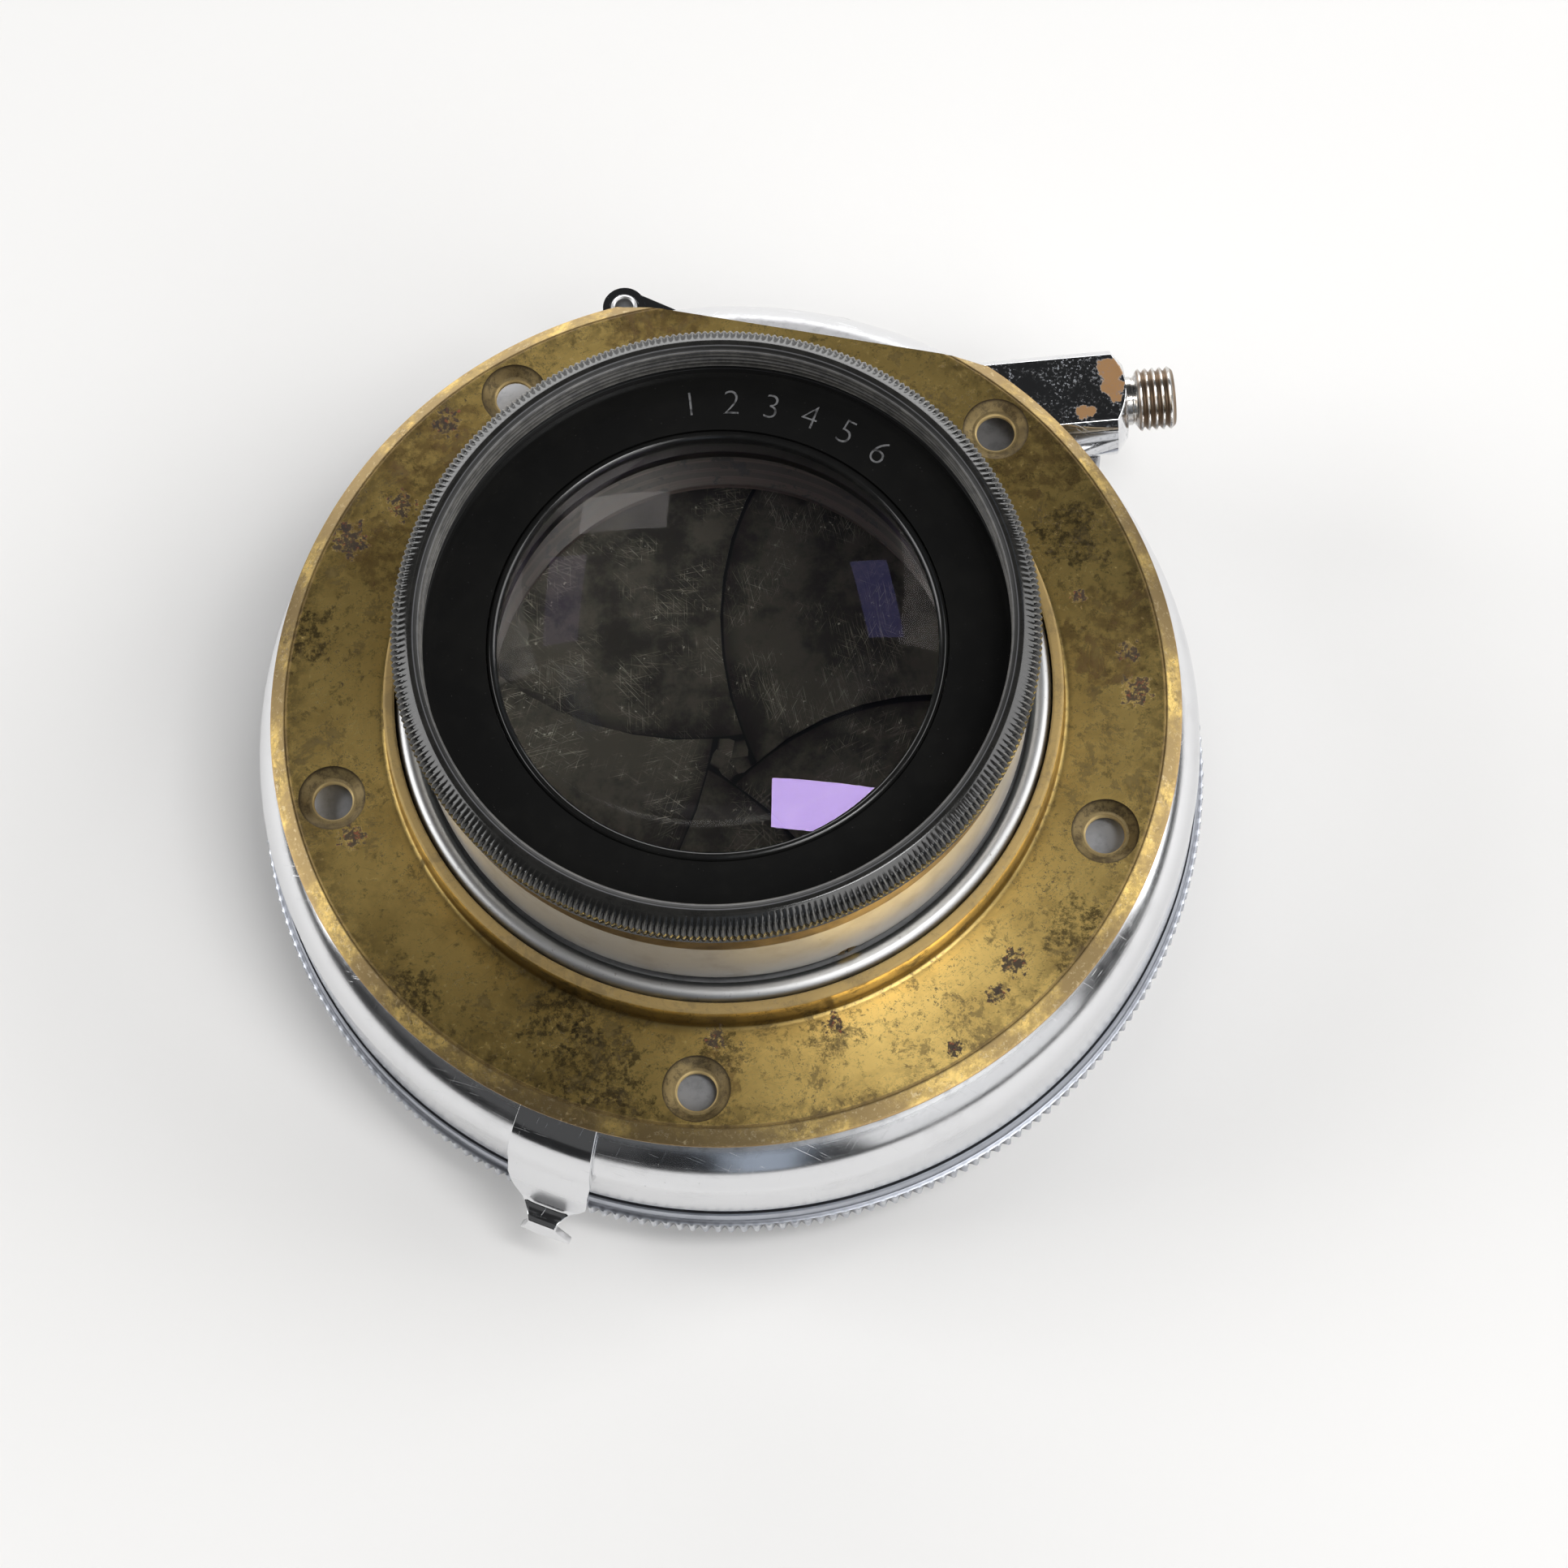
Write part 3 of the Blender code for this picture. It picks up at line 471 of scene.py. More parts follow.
def brass_plate():
    """Old brass of the flange, with its stains, its turned lines and its dull countersinks; shade is painted in
    two grooves and on the countersinks' upper walls.
    """
    s = Surface("aged_brass", (0.84, 0.60, 0.200), 1.0, 0.34)
    lines = s.turning(0.11)
    s.tint(s.band(lines, 0.35, 0.7), (0.88, 0.645, 0.225), 0.30)
    clouds = s.noise(8.0, 6.0, rough=0.66)
    s.tint(s.band(clouds, 0.44, 0.62), (0.46, 0.315, 0.100), 0.55)
    olive = s.noise(4.0, 8.0, rough=0.78, distortion=0.4)
    s.tint(s.band(olive, 0.53, 0.59), (0.165, 0.125, 0.055), 0.78)
    small = s.noise(1.2, 8.0, rough=0.85, distortion=0.3)
    s.tint(s.band(small, 0.54, 0.60), (0.150, 0.112, 0.052), 0.60)
    for spot in stains(s, BROWN, 0.5):
        grain = s.band(s.noise(1.3, 6.0, rough=0.75), 0.38, 0.58)
        s.tint(s.times(spot, grain), (0.190, 0.105, 0.050), 0.55)
    for spot in stains(s, MOTTLED, 0.9):
        grain = s.band(s.noise(0.8, 7.0, rough=0.85), 0.44, 0.58)
        s.tint(s.times(spot, grain), (0.080, 0.064, 0.036), 0.80)
    outer = s.times(s.band(s.radius(), 37.5, 40.5), s.band(s.noise(1.6, 7.0, rough=0.8), 0.42, 0.58))
    s.tint(outer, (0.125, 0.088, 0.045), 0.55)
    pits = s.noise(0.42, 4.0, rough=0.85)
    dirt = s.times(s.band(pits, 0.57, 0.62), s.band(s.noise(5.0, 4.0), 0.44, 0.60))
    s.tint(dirt, (0.060, 0.044, 0.026), 0.92)
    flecks = s.times(s.band(s.noise(0.9, 6.0, rough=0.85), 0.61, 0.64),
                     s.band(s.noise(6.0, 3.0), 0.49, 0.60))
    s.tint(flecks, (0.030, 0.022, 0.016), 0.85)
    dark = 0.0
    for spot in stains(s, BLACK, 0.9):
        grain = s.band(s.noise(0.7, 5.0, rough=0.8), 0.38, 0.5)
        dark = s.either(dark, s.times(spot, grain))
    s.tint(dark, (0.024, 0.015, 0.012), 0.96)
    rusty = s.band(s.noise(0.4, 4.0), 0.55, 0.65)
    s.tint(s.times(dark, rusty), (0.26, 0.070, 0.025), 0.75)
    marks = s.either(s.scratches(3.5, 0.05, -35, 0.69), s.scratches(2.6, 0.05, 20, 0.70))
    s.tint(marks, (0.10, 0.070, 0.035), 0.55)
    s.rough(s.band(olive, 0.5, 0.68), 0.55)
    s.rough(s.either(dark, flecks), 0.75)
    lip = s.times(s.band(s.height(), 4.7, 4.95), s.band(s.radius(), 31.3, 31.1))
    s.tint(lip, (0.40, 0.30, 0.15), 0.8)
    s.rough(lip, 0.7)
    # Painted shade: darker brown in the groove at the foot of the lip
    shaded_groove = s.times(s.band(s.radius(), 32.2, 31.2), s.band(s.height(), 4.9, 3.6))
    s.tint(shaded_groove, (0.070, 0.048, 0.022), 0.75)
    rim = s.band(s.radius(), 40.5, 40.7)
    s.tint(s.times(rim, s.band(clouds, 0.32, 0.56)), (0.30, 0.215, 0.10))
    s.tint(s.times(rim, s.band(s.noise(0.6, 5.0, rough=0.8), 0.55, 0.64), 0.5),
           (0.66, 0.54, 0.33))
    s.rough(rim, 0.45)
    # Painted shade: a thin dark brown line in the groove between the plate and the chamfer, made rougher too
    shaded_chamfer_groove = s.times(s.band(s.radius(), 40.25, 40.36), s.band(s.radius(), 40.75, 40.62))
    s.tint(shaded_chamfer_groove, (0.13, 0.09, 0.045), 0.75)
    s.rough(shaded_chamfer_groove, 0.6)
    s.tint(s.band(s.radius(), 41.85, 42.0), (0.36, 0.24, 0.12), 0.6)
    sunk = 0.0
    for angle in FLANGE_HOLES:
        gap = s.vector("DISTANCE", s.flat(), (*polar(SCREW_CIRCLE, angle), 0))
        sunk = s.either(sunk, s.band(gap, SINK_RADIUS + 0.08, SINK_RADIUS))
    sunk = s.times(sunk, s.band(s.height(), FLANGE_FACE, FLANGE_FACE - 0.06))
    s.tint(sunk, (0.150, 0.115, 0.060), 0.88)
    s.tint(s.times(sunk, s.band(small, 0.47, 0.57)), (0.050, 0.036, 0.020), 0.6)
    # Painted shade: a near-black band on the countersinks' upper walls
    s.tint(s.times(sunk, s.band(s.height(), 1.10, 1.40)), (0.045, 0.032, 0.018))
    s.tint(s.times(sunk, s.band(s.height(), 0.62, 0.52)), (0.50, 0.38, 0.18))
    s.rough(sunk, 0.55)
    s.metal(s.either(dark, s.times(s.either(dirt, flecks), 0.7)), 0.1, 1.0)
    s.metal(sunk, 0.7, 1.0)
    s.bump(lines, 0.010, 0.5)
    s.bump(pits, 0.02, 0.35)
    s.shader.inputs["Anisotropic"].default_value = 0.6
    s.shader.inputs["Anisotropic Rotation"].default_value = 0.25
    tangent = s.tree.nodes.new("ShaderNodeTangent")
    tangent.direction_type = "RADIAL"
    tangent.axis = "Z"
    s.put(s.shader.inputs["Tangent"], tangent.outputs["Tangent"])
    return s.mat


def brass_band():
    """Dark brass of the rear cell's band; its inside is blackened."""
    s = Surface("dark_brass", (0.24, 0.165, 0.075), 1.0, 0.36)
    s.tint(s.band(s.noise(3.0, 5.0), 0.4, 0.65), (0.075, 0.042, 0.014), 0.7)
    edge = s.band(s.height(), 14.25, 14.0)
    s.tint(edge, (0.48, 0.33, 0.10))
    inside = s.band(s.radius(), 27.2, 27.0)
    s.tint(inside, (0.012, 0.008, 0.007))
    s.metal(inside, 0.2, 1.0)
    s.rough(inside, 0.5)
    s.bump(s.turning(0.12), 0.012, 0.5)
    return s.mat


def chrome(name="bright_chrome", flakes=(), polish=0.05):
    """Surface of old chrome plating, which other materials start from."""
    s = Surface(name, (0.78, 0.785, 0.80), 1.0, polish)
    haze = s.noise(7.0, 6.0, rough=0.7)
    s.rough(s.band(haze, 0.45, 0.75), polish + 0.08)
    s.tint(s.band(haze, 0.5, 0.8), (0.60, 0.60, 0.61), 0.35)
    marks = s.either(s.scratches(5.0, 0.05, 25, 0.70), s.scratches(3.5, 0.04, -50, 0.71))
    s.rough(s.times(marks, 0.8), 0.32)
    pits = s.band(s.noise(0.30, 2.0, rough=0.7), 0.74, 0.78)
    s.tint(pits, (0.20, 0.18, 0.16), 0.7)
    s.rough(pits, 0.5)
    for point, reach in flakes:
        bare = s.near(point, reach, 0.35)
        s.tint(bare, (0.36, 0.200, 0.088))
        s.metal(bare, 0.35, 1.0)
        s.rough(bare, 0.45)
    streaks = s.times(s.band(s.turning(0.16), 0.50, 0.72), s.band(haze, 0.38, 0.6))
    s.rough(s.times(streaks, 0.7), polish + 0.20)
    s.bump(haze, 0.012, 0.4)
    s.bump(marks, -0.006, 0.5)
    return s


def shell_chrome():
    """Chrome of the housing: the upper part of its dome, under the flange, is satin and painted darker grey as
    shade.
    """
    s = chrome("housing_chrome", polish=0.15)
    # Painted shade under the flange: grey colour on the upper dome, besides its satin roughness
    face = s.times(s.band(s.radius(), 42.0, 40.6), s.band(s.height(), -5.0, -4.4))
    s.tint(face, (0.25, 0.25, 0.255))
    s.tint(s.times(face, s.band(s.noise(1.6, 5.0, rough=0.7), 0.45, 0.7)), (0.19, 0.19, 0.195))
    s.rough(face, 0.52)
    s.bump(s.turning(0.09), 0.004, 0.6)
    return s.mat


def block_chrome():
    """Chrome of the socket block, specked and flaked down to the brass."""
    s = chrome("flaked_chrome", FLAKES)
    specks = s.times(s.band(s.noise(0.30, 4.0, rough=0.75), 0.55, 0.66),
                     s.band(s.noise(3.0, 4.0), 0.38, 0.60))
    s.tint(specks, (0.16, 0.19, 0.25), 0.7)
    s.metal(s.times(specks, 0.6), 0.2, 1.0)
    s.rough(specks, 0.55)
    return s.mat


def lever_chrome():
    """Chrome of the aperture lever, dulled where fingers touch it."""
    s = chrome("lever_chrome", polish=0.10)
    dulled = s.times(s.band(s.height(), -9.0, -12.5), s.band(s.height(), -15.1, -14.6))
    s.rough(dulled, 0.30)
    return s.mat


def figure_paint():
    s = Surface("figure_paint", (0.20, 0.20, 0.205), 0.3, 0.5)
    s.tint(s.band(s.noise(0.6, 4.0), 0.45, 0.66), (0.045, 0.045, 0.046))
    return s.mat


def ring_metal():
    """Satin chrome of the speed ring, with painted shade: black where it meets the housing and dark in the valleys
    between its teeth.
    """
    s = Surface("satin_chrome", (0.44, 0.46, 0.51), 1.0, 0.36)
    s.tint(s.band(s.noise(3.0, 5.0, rough=0.7), 0.45, 0.65), (0.32, 0.335, 0.37), 0.5)
    # Painted shade: near black on the ring's face in the gap against the housing
    gap = s.times(s.band(s.height(), -15.75, -15.45), s.band(s.radius(), 44.28, 44.20))
    s.tint(gap, (0.010, 0.010, 0.012), 0.96)
    s.rough(gap, 0.6)
    # Painted shade: dark in the valleys between the teeth
    shaded_valley = s.times(s.band(s.radius(), 44.88, 44.62), s.band(s.radius(), 44.40, 44.46))
    shaded_valley = s.times(shaded_valley, s.band(s.height(), -16.75, -16.95))
    s.tint(shaded_valley, (0.055, 0.057, 0.065), 0.85)
    worn = s.times(s.band(s.radius(), 44.80, 44.95), s.band(s.noise(1.5, 3.0), 0.35, 0.6))
    s.tint(worn, (0.80, 0.81, 0.83), 0.7)
    s.bump(s.noise(0.3, 4.0), 0.006, 0.5)
    return s.mat


def nipple_metal():
    """Worn plating of the nipple, brown between the crests of its thread."""
    s = Surface("worn_thread", (0.66, 0.65, 0.63), 1.0, 0.20)
    offset = s.vector("SUBTRACT", s.vector("MULTIPLY", s.where, (0, 1, 1)), (0, SOCKET_Y, SOCKET_Z))
    flank = s.times(s.band(s.vector("LENGTH", offset), 2.92, 2.80), s.band(s.along("X"), 41.3, 41.6))
    s.tint(flank, (0.20, 0.135, 0.080), 0.9)
    s.rough(flank, 0.38)
    s.tint(s.band(s.noise(0.9, 5.0, rough=0.7), 0.46, 0.64), (0.28, 0.20, 0.13), 0.6)
    s.bump(s.noise(0.3, 3.0), 0.006, 0.5)
    return s.mat


def satin():
    """Nickel of the rear tube; its inside is dark and turned in steps."""
    s = Surface("satin_nickel_plate", (0.64, 0.62, 0.585), 1.0, 0.46)
    s.tint(s.band(s.noise(4.0, 5.0), 0.45, 0.7), (0.48, 0.44, 0.39), 0.5)
    stain = s.band(s.noise(0.8, 5.0, rough=0.75), 0.66, 0.74)
    s.tint(stain, (0.13, 0.11, 0.09), 0.5)
    # Painted shade: dark grey in the recess at the foot of the tube, next to the bead
    shaded_groove = s.times(s.band(s.height(), 5.9, 5.6), s.band(s.radius(), 27.2, 27.4))
    s.tint(shaded_groove, (0.075, 0.085, 0.085), 0.9)
    inside = s.band(s.radius(), 26.7, 26.5)
    ring = s.band(s.turning(0.9), 0.42, 0.6)
    s.tint(inside, s.mix(ring, (0.045, 0.032, 0.028), (0.115, 0.082, 0.070)))
    flaked = s.times(inside, s.band(s.noise(2.2, 6.0, rough=0.75), 0.56, 0.60))
    s.tint(flaked, (0.022, 0.018, 0.018), 0.85)
    s.metal(inside, 0.0, 1.0)
    s.rough(inside, 0.42)
    s.bump(s.turning(0.10), 0.008, 0.5)
    return s.mat


def bead_metal():
    """Dull nickel of the ring inside the flange's lip."""
    s = Surface("bright_nickel", (0.43, 0.43, 0.43), 1.0, 0.40)
    s.tint(s.band(s.noise(2.5, 6.0, rough=0.7), 0.45, 0.65), (0.40, 0.40, 0.39), 0.5)
    grime_and_shadow = s.band(s.noise(0.5, 4.0, rough=0.8), 0.62, 0.70)
    s.tint(grime_and_shadow, (0.12, 0.10, 0.085), 0.6)
    s.rough(grime_and_shadow, 0.5)
    s.bump(s.noise(0.5, 4.0), 0.01, 0.4)
    return s.mat


def enamel(name="black_enamel_paint", gloss=0.13, worn=True):
    """Black enamel; the worn kind is bare where the mesh says so and dull inside the recess."""
    s = Surface(name, (0.0080, 0.0080, 0.0078), 0.0, gloss)
    s.tint(s.band(s.noise(6.0, 5.0), 0.4, 0.7), (0.0115, 0.0113, 0.0105), 0.6)
    dust = s.band(s.noise(0.11, 1.0, rough=0.5), 0.795, 0.82)
    s.tint(dust, (0.20, 0.19, 0.18), 0.7)
    s.rough(s.band(s.noise(1.5, 5.0), 0.4, 0.7), gloss + 0.05)
    if worn:
        wall = s.times(s.band(s.radius(), 26.8, 26.6), s.band(s.height(), 16.27, 16.35))
        lines = s.band(s.turning(0.16), 0.52, 0.60)
        s.tint(s.times(wall, lines), (0.19, 0.19, 0.205), 0.55)
        s.rough(wall, 0.40)
        s.put(s.shader.inputs["Specular IOR Level"], s.math("SUBTRACT", 0.5, s.times(wall, 0.28)))
        patch = s.math("ADD", s.times(s.band(s.noise(1.6, 4.0, rough=0.75), 0.35, 0.65), 0.6), 0.4)
        bare = s.times(s.math("POWER", s.wear(), 1.6), patch)
        s.tint(bare, (0.42, 0.40, 0.36))
        s.metal(bare, 1.0, 0.0)
        s.rough(bare, 0.30)
    s.bump(s.noise(0.25, 3.0), 0.004, 0.5)
    return s.mat


def leaf_steel(number, neighbour):
    """Oiled shutter steel, worn in arcs about the leaf's pivot, with a painted shadow along the neighbour's edge.
    """
    s = Surface("leaf_steel_%d" % number, (0.090, 0.080, 0.064), 0.55, 0.45)
    shifted = s.vector("ADD", s.where, (37.0 * number, 11.0 * number, 0))
    s.tint(s.band(s.noise(6.0, 6.0, shifted, 0.7), 0.42, 0.60), (0.026, 0.024, 0.019), 0.85)
    worn = s.band(s.noise(4.5, 4.0, shifted, 0.6), 0.47, 0.60)
    arcs = s.times(s.band(s.turning(0.14), 0.56, 0.66), worn)
    s.tint(arcs, (0.24, 0.215, 0.17), 0.5)
    for length, angle, cutoff in ((2.4, 20, 0.63), (3.2, -38, 0.65), (1.8, 62, 0.64), (4.0, 5, 0.66)):
        marks = s.times(s.scratches(length, 0.045, angle + 31 * number, cutoff), worn)
        s.tint(marks, (0.44, 0.40, 0.32), 0.75)
    specks = s.times(s.band(s.noise(0.34, 3.0, shifted, 0.6), 0.66, 0.70), worn)
    s.tint(specks, (0.55, 0.51, 0.42), 0.8)
    gap = s.vector("DISTANCE", s.flat(), neighbour)
    # Painted shadow: a soft dark band where the neighbouring leaf's edge lies over this one
    grime_and_shadow = s.times(s.band(gap, LEAF_CLEAR - 1.6, LEAF_CLEAR),
                    s.band(gap, LEAF_CLEAR + 0.6, LEAF_CLEAR))
    s.tint(grime_and_shadow, (0.008, 0.007, 0.006), 0.6)
    # Painted shadow: a black line right along that edge
    edge_shadow_line = s.times(s.band(gap, LEAF_CLEAR - 0.26, LEAF_CLEAR - 0.14),
                   s.band(gap, LEAF_CLEAR + 0.35, LEAF_CLEAR + 0.15))
    s.tint(edge_shadow_line, (0.004, 0.004, 0.004), 0.92)
    s.rough(s.band(s.noise(3.0, 4.0, shifted), 0.4, 0.7), 0.58)
    s.bump(s.noise(0.4, 4.0), 0.006, 0.4)
    return s.mat


def dark_steel():
    s = Surface("dark_steel", (0.06, 0.057, 0.052), 0.8, 0.4)
    s.tint(s.band(s.noise(2.0, 5.0), 0.45, 0.7), (0.035, 0.032, 0.03))
    s.bump(s.noise(0.3, 3.0), 0.005, 0.5)
    return s.mat


def glass(name="coated_glass", coating=(0.13, 0.12, 0.125)):
    s = Surface(name, (1.0, 1.0, 1.0), 0.0, 0.0)
    s.shader.inputs["Transmission Weight"].default_value = 1.0
    s.shader.inputs["IOR"].default_value = 1.53
    s.shader.inputs["Specular Tint"].default_value = (*coating, 1)
    film = s.band(s.noise(9.0, 5.0), 0.45, 0.8)
    s.put(s.shader.inputs["Roughness"], s.times(film, 0.02))
    return s.mat


def floor_paper():
    s = Surface("white_paper", (0.812, 0.803, 0.790), 0.0, 0.7)
    s.tint(s.band(s.noise(90.0, 3.0), 0.3, 0.7), (0.792, 0.783, 0.770), 0.25)
    s.bump(s.noise(1.2, 4.0), 0.02, 0.25)
    return s.mat


# ------------------------------------------------------------------- the parts

def build_flange(brass):
    face = FLANGE_FACE - 0.02
    profile = [(30.05, 0.03), (42.0, 0.03), (42.03, 0.3), (41.75, 0.42), (40.62, 1.42),
               (40.5, 1.36), (40.38, face), (31.7, face), (31.3, 1.62), (31.1, 2.1),
               (31.04, 5.0), (30.85, 5.18), (30.2, 5.18), (30.05, 5.05)]
    bm = bmesh.new()
    revolve(bm, rounded(profile, 0.06, 2))
    flange = to_object("flange_plate", bm)
    holes = bmesh.new()
    for angle in FLANGE_HOLES:
        one = bmesh.new()
        revolve(one, [(0, -1.0), (1.78, -1.0), (1.78, 0.40), (1.95, 0.58), (2.20, 0.60),
                      (SINK_RADIUS - 0.08, 1.28), (SINK_RADIUS, 1.40), (SINK_RADIUS + 0.02, 3.0),
                      (0, 3.0)], 64)
        bmesh.ops.translate(one, verts=one.verts, vec=(*polar(SCREW_CIRCLE, angle), 0))
        add(holes, one)
    carve(flange, holes)
    side = bmesh.new()
    box(side, (SIDE_DISTANCE, -30, -1), (SIDE_DISTANCE + 10.0, 30, 3))
    bmesh.ops.rotate(side, verts=side.verts, cent=(0, 0, 0),
                     matrix=Matrix.Rotation(math.radians(SIDE_ANGLE), 3, "Z"))
    carve(flange, side)
    piece(flange, brass, ROOT, ["mounting_flange"], 28)


def dome(offset, start, end, steps):
    """Section of the housing's domed back at a distance from its outer surface."""
    return [(DOME_MIDDLE.x + (DOME_REACH + offset) * x, DOME_MIDDLE.y + (DOME_RISE + offset) * y)
            for x, y in arc((0, 0), 1.0, start, end, steps)]


def build_housing(metal):
    inner = DOME_MIDDLE.y + DOME_RISE - SHELL_SHEET
    bore = WALL_RADIUS - SHELL_SHEET
    profile = [(25.0, inner), (25.0, 4.0), (28.1, 4.0), (28.1, -0.05), (31.5, -0.05), (31.5, -1.0)]
    profile += dome(0.0, 90, 0, 36)
    profile += [(WALL_RADIUS, WALL_END + 0.23), (WALL_RADIUS - 0.25, WALL_END), (bore, WALL_END)]
    profile += dome(-SHELL_SHEET, 0, 90, 24)
    bm = bmesh.new()
    revolve(bm, profile)
    housing = to_object("housing_shell", bm)
    slots = bmesh.new()
    sector(slots, 32.9, 34.7, -3.4, -0.7, -118.5, -63.5)     # for the aperture lever's stud
    sector(slots, 41.0, 46.0, -15.75, -13.5, 68.0, 109.0)    # for the cocking lever
    sector(slots, 41.0, 46.0, -13.0, -11.4, 24.0, 49.0)      # for the release lever
    carve(housing, slots)
    notch = bmesh.new()
    sector(notch, 41.6, 50.0, -9.15, 0.5, 28.0, 60.0)
    sides = bmesh.new()
    box(sides, (20, 23.85, -10), (60, 33.95, 2))
    wedge = to_object("notch", notch)
    carve(wedge, sides, "INTERSECT")
    combine(housing, wedge)
    piece(housing, metal, ROOT, ["shutter_housing"], 30)


def lens_surface(radius, edge, curve):
    """Section of a lens surface from the axis to its edge; curve is twice its radius of curvature."""
    reaches = [radius * k / GLASS_STEPS for k in range(GLASS_STEPS + 1)]
    return [(reach, edge + (radius ** 2 - reach ** 2) / curve) for reach in reaches]


def build_rear(silver, bead, brass, black, lip_black, clear):
    turned("flange_bead", [(28.2, 0.1), (29.95, 0.1), (29.95, 4.2)]
           + arc((28.95, 4.3), 0.98, 0, 150, 12) + [(28.2, 4.3)], bead,
           ["flange_retaining_ring"], corner=0)
    barrel = [(27.45, 4.15), (27.45, 5.55), (27.9, 5.75), (27.9, 13.75), (26.95, 13.82),
              (26.95, 8.35), (22.3, 8.3)]
    for k in range(8):
        high = 8.0 - k * 1.1
        barrel += [(21.6 - 0.52 * k, high), (21.9 - 0.52 * k, high - 0.9)]
    barrel += [(17.9, -0.98), (24.85, -0.98), (24.85, 4.15)]
    bm = bmesh.new()
    revolve(bm, barrel)
    tube = to_object("rear_tube", bm)
    hole = bmesh.new()
    revolve(hole, [(0, 25.5), (1.1, 25.5), (1.1, 30), (0, 30)], 32)
    lay_radially(hole)
    carve(tube, hole)
    piece(tube, silver, ROOT, ["rear_cell_barrel"], 30)
    screw = bmesh.new()
    revolve(screw, rounded([(0, 26.97), (0.98, 26.97), (0.98, 27.65), (0, 27.68)], 0.05), 32)
    lay_radially(screw)
    head = to_object("barrel_screw_head", screw)
    slit = bmesh.new()
    box(slit, (-2, -0.17, 27.4), (2, 0.17, 28.5))
    lay_radially(slit)
    carve(head, slit)
    piece(head, brass, ROOT, ["barrel_set_screw"])
    turned("rear_cell_band",
           [(27.0, 17.85), (27.0, 14.9), (20.5, 14.9), (20.5, 9.6), (19.6, 9.5), (19.2, 8.4),
            (26.8, 8.4), (26.8, 13.95), (27.95, 13.95), (28.0, 14.25), (28.0, 17.85)],
           brass, ["rear_cell_mount"])
    build_rim(black)
    turned("glass_ring", [(19.66, 15.5), (20.5, 15.2), (20.52, 16.05)]
           + arc((20.1, 16.0), 0.42, 0, 180, 10), lip_black,
           ["rear_lens_retainer"], corner=0)
    outer = lens_surface(GLASS_RADIUS, 15.0, 120)
    inner = lens_surface(GLASS_RADIUS, 9.92, -260)
    lens = turned("rear_glass", outer + inner[::-1], clear,
                  ["rear_lens_outer", "rear_lens_inner"], corner=0, steps=192)
    lens.data.materials.append(glass("outer_coating", (0.62, 0.45, 0.95)))
    for face in lens.data.polygons:
        if face.center.z > 14.9 * MM:
            face.material_index = 1


def lay_radially(bm):
    """Lays a solid drawn along Z across the barrel wall at the set screw's place."""
    bmesh.ops.rotate(bm, verts=bm.verts, cent=(0, 0, 0), matrix=Matrix.Rotation(math.pi / 2, 3, "Y"))
    bmesh.ops.translate(bm, verts=bm.verts, vec=(0, 0, SET_SCREW_HEIGHT))
    bmesh.ops.rotate(bm, verts=bm.verts, cent=(0, 0, 0),
                     matrix=Matrix.Rotation(math.radians(SET_SCREW_ANGLE), 3, "Z"))


def build_rim(black):
    """Knurled outside of the rear rim and, as one closed piece, its threaded inside."""
    outside = [(28.1, 17.97), (28.6, 18.02)]
    outside += arc((27.45, 19.4), 1.34, -40, 72, 9)
    outside += [(27.35, 21.10), (27.2, 21.16), (27.1, 21.22)]
    outside += [(26.5, 21.23), (26.43, 21.15)]
    threads = len(outside)
    for k in range(THREADS):
        crest = 21.0 - THREAD_PITCH * k
        outside += [(26.06, crest), (26.42, crest - THREAD_PITCH / 2)]
    outside += [(26.3, 17.3), (26.3, 16.4), (26.25, 16.26), (20.6, 16.24), (20.6, 15.02), (26.85, 15.02),
                (26.85, 17.9)]
    depths = {index: RIM_KNURL_DEPTH * min(1.0, (index - 1) / 2, (12 - index) / 2.5)
              for index in RIM_KNURLED}

    def wave(index, step):
        shape = (0.0, 0.35, 1.0, 0.35)[step % 4]
        return depths.get(index, 0.0) * shape

    bm = bmesh.new()
    layer = bm.verts.layers.float.new("wear")
    columns = revolve(bm, outside, RIM_TEETH * 4, wave)
    tooth_wear = {3: 0.55, 4: 0.30, 5: 0.15, 6: 0.15, 7: 0.25, 8: 0.55, 9: 0.85, 10: 0.5, 11: 0.15}
    for step, column in enumerate(columns):
        for index in RIM_TOP:
            column[index][layer] = 0.10
        for index in range(threads, threads + 2 * THREADS, 2):
            column[index][layer] = 0.45
        for index, level in tooth_wear.items():
            if step % 4 == 0:
                column[index][layer] = level
    piece(to_object("rear_rim", bm), black, ROOT, ["rear_cell_rim"], 50)


def build_figures(paint):
    """Generic serial figures cut in the flat ring, reading from the middle outwards."""
    bm = bmesh.new()
    for number, angle in zip("123456", FIGURE_ANGLES):
        curve = bpy.data.curves.new("figure", "FONT")
        curve.body = number
        curve.size = FIGURE_SIZE
        curve.align_x = "CENTER"
        curve.align_y = "CENTER"
        curve.offset = -0.075
        curve.extrude = 0.012
        holder = add_object("figure", curve)
        graph = bpy.context.evaluated_depsgraph_get()
        mesh = bpy.data.meshes.new_from_object(holder.evaluated_get(graph))
        mesh.transform(Matrix.Translation((*polar(FIGURE_CIRCLE, angle), 16.26))
                       @ Matrix.Rotation(math.radians(angle - 90), 4, "Z"))
        bm.from_mesh(mesh)
        bpy.data.meshes.remove(mesh)
        bpy.data.objects.remove(holder, do_unlink=True)
    piece(to_object("rear_cell_figures", bm), paint, ROOT)


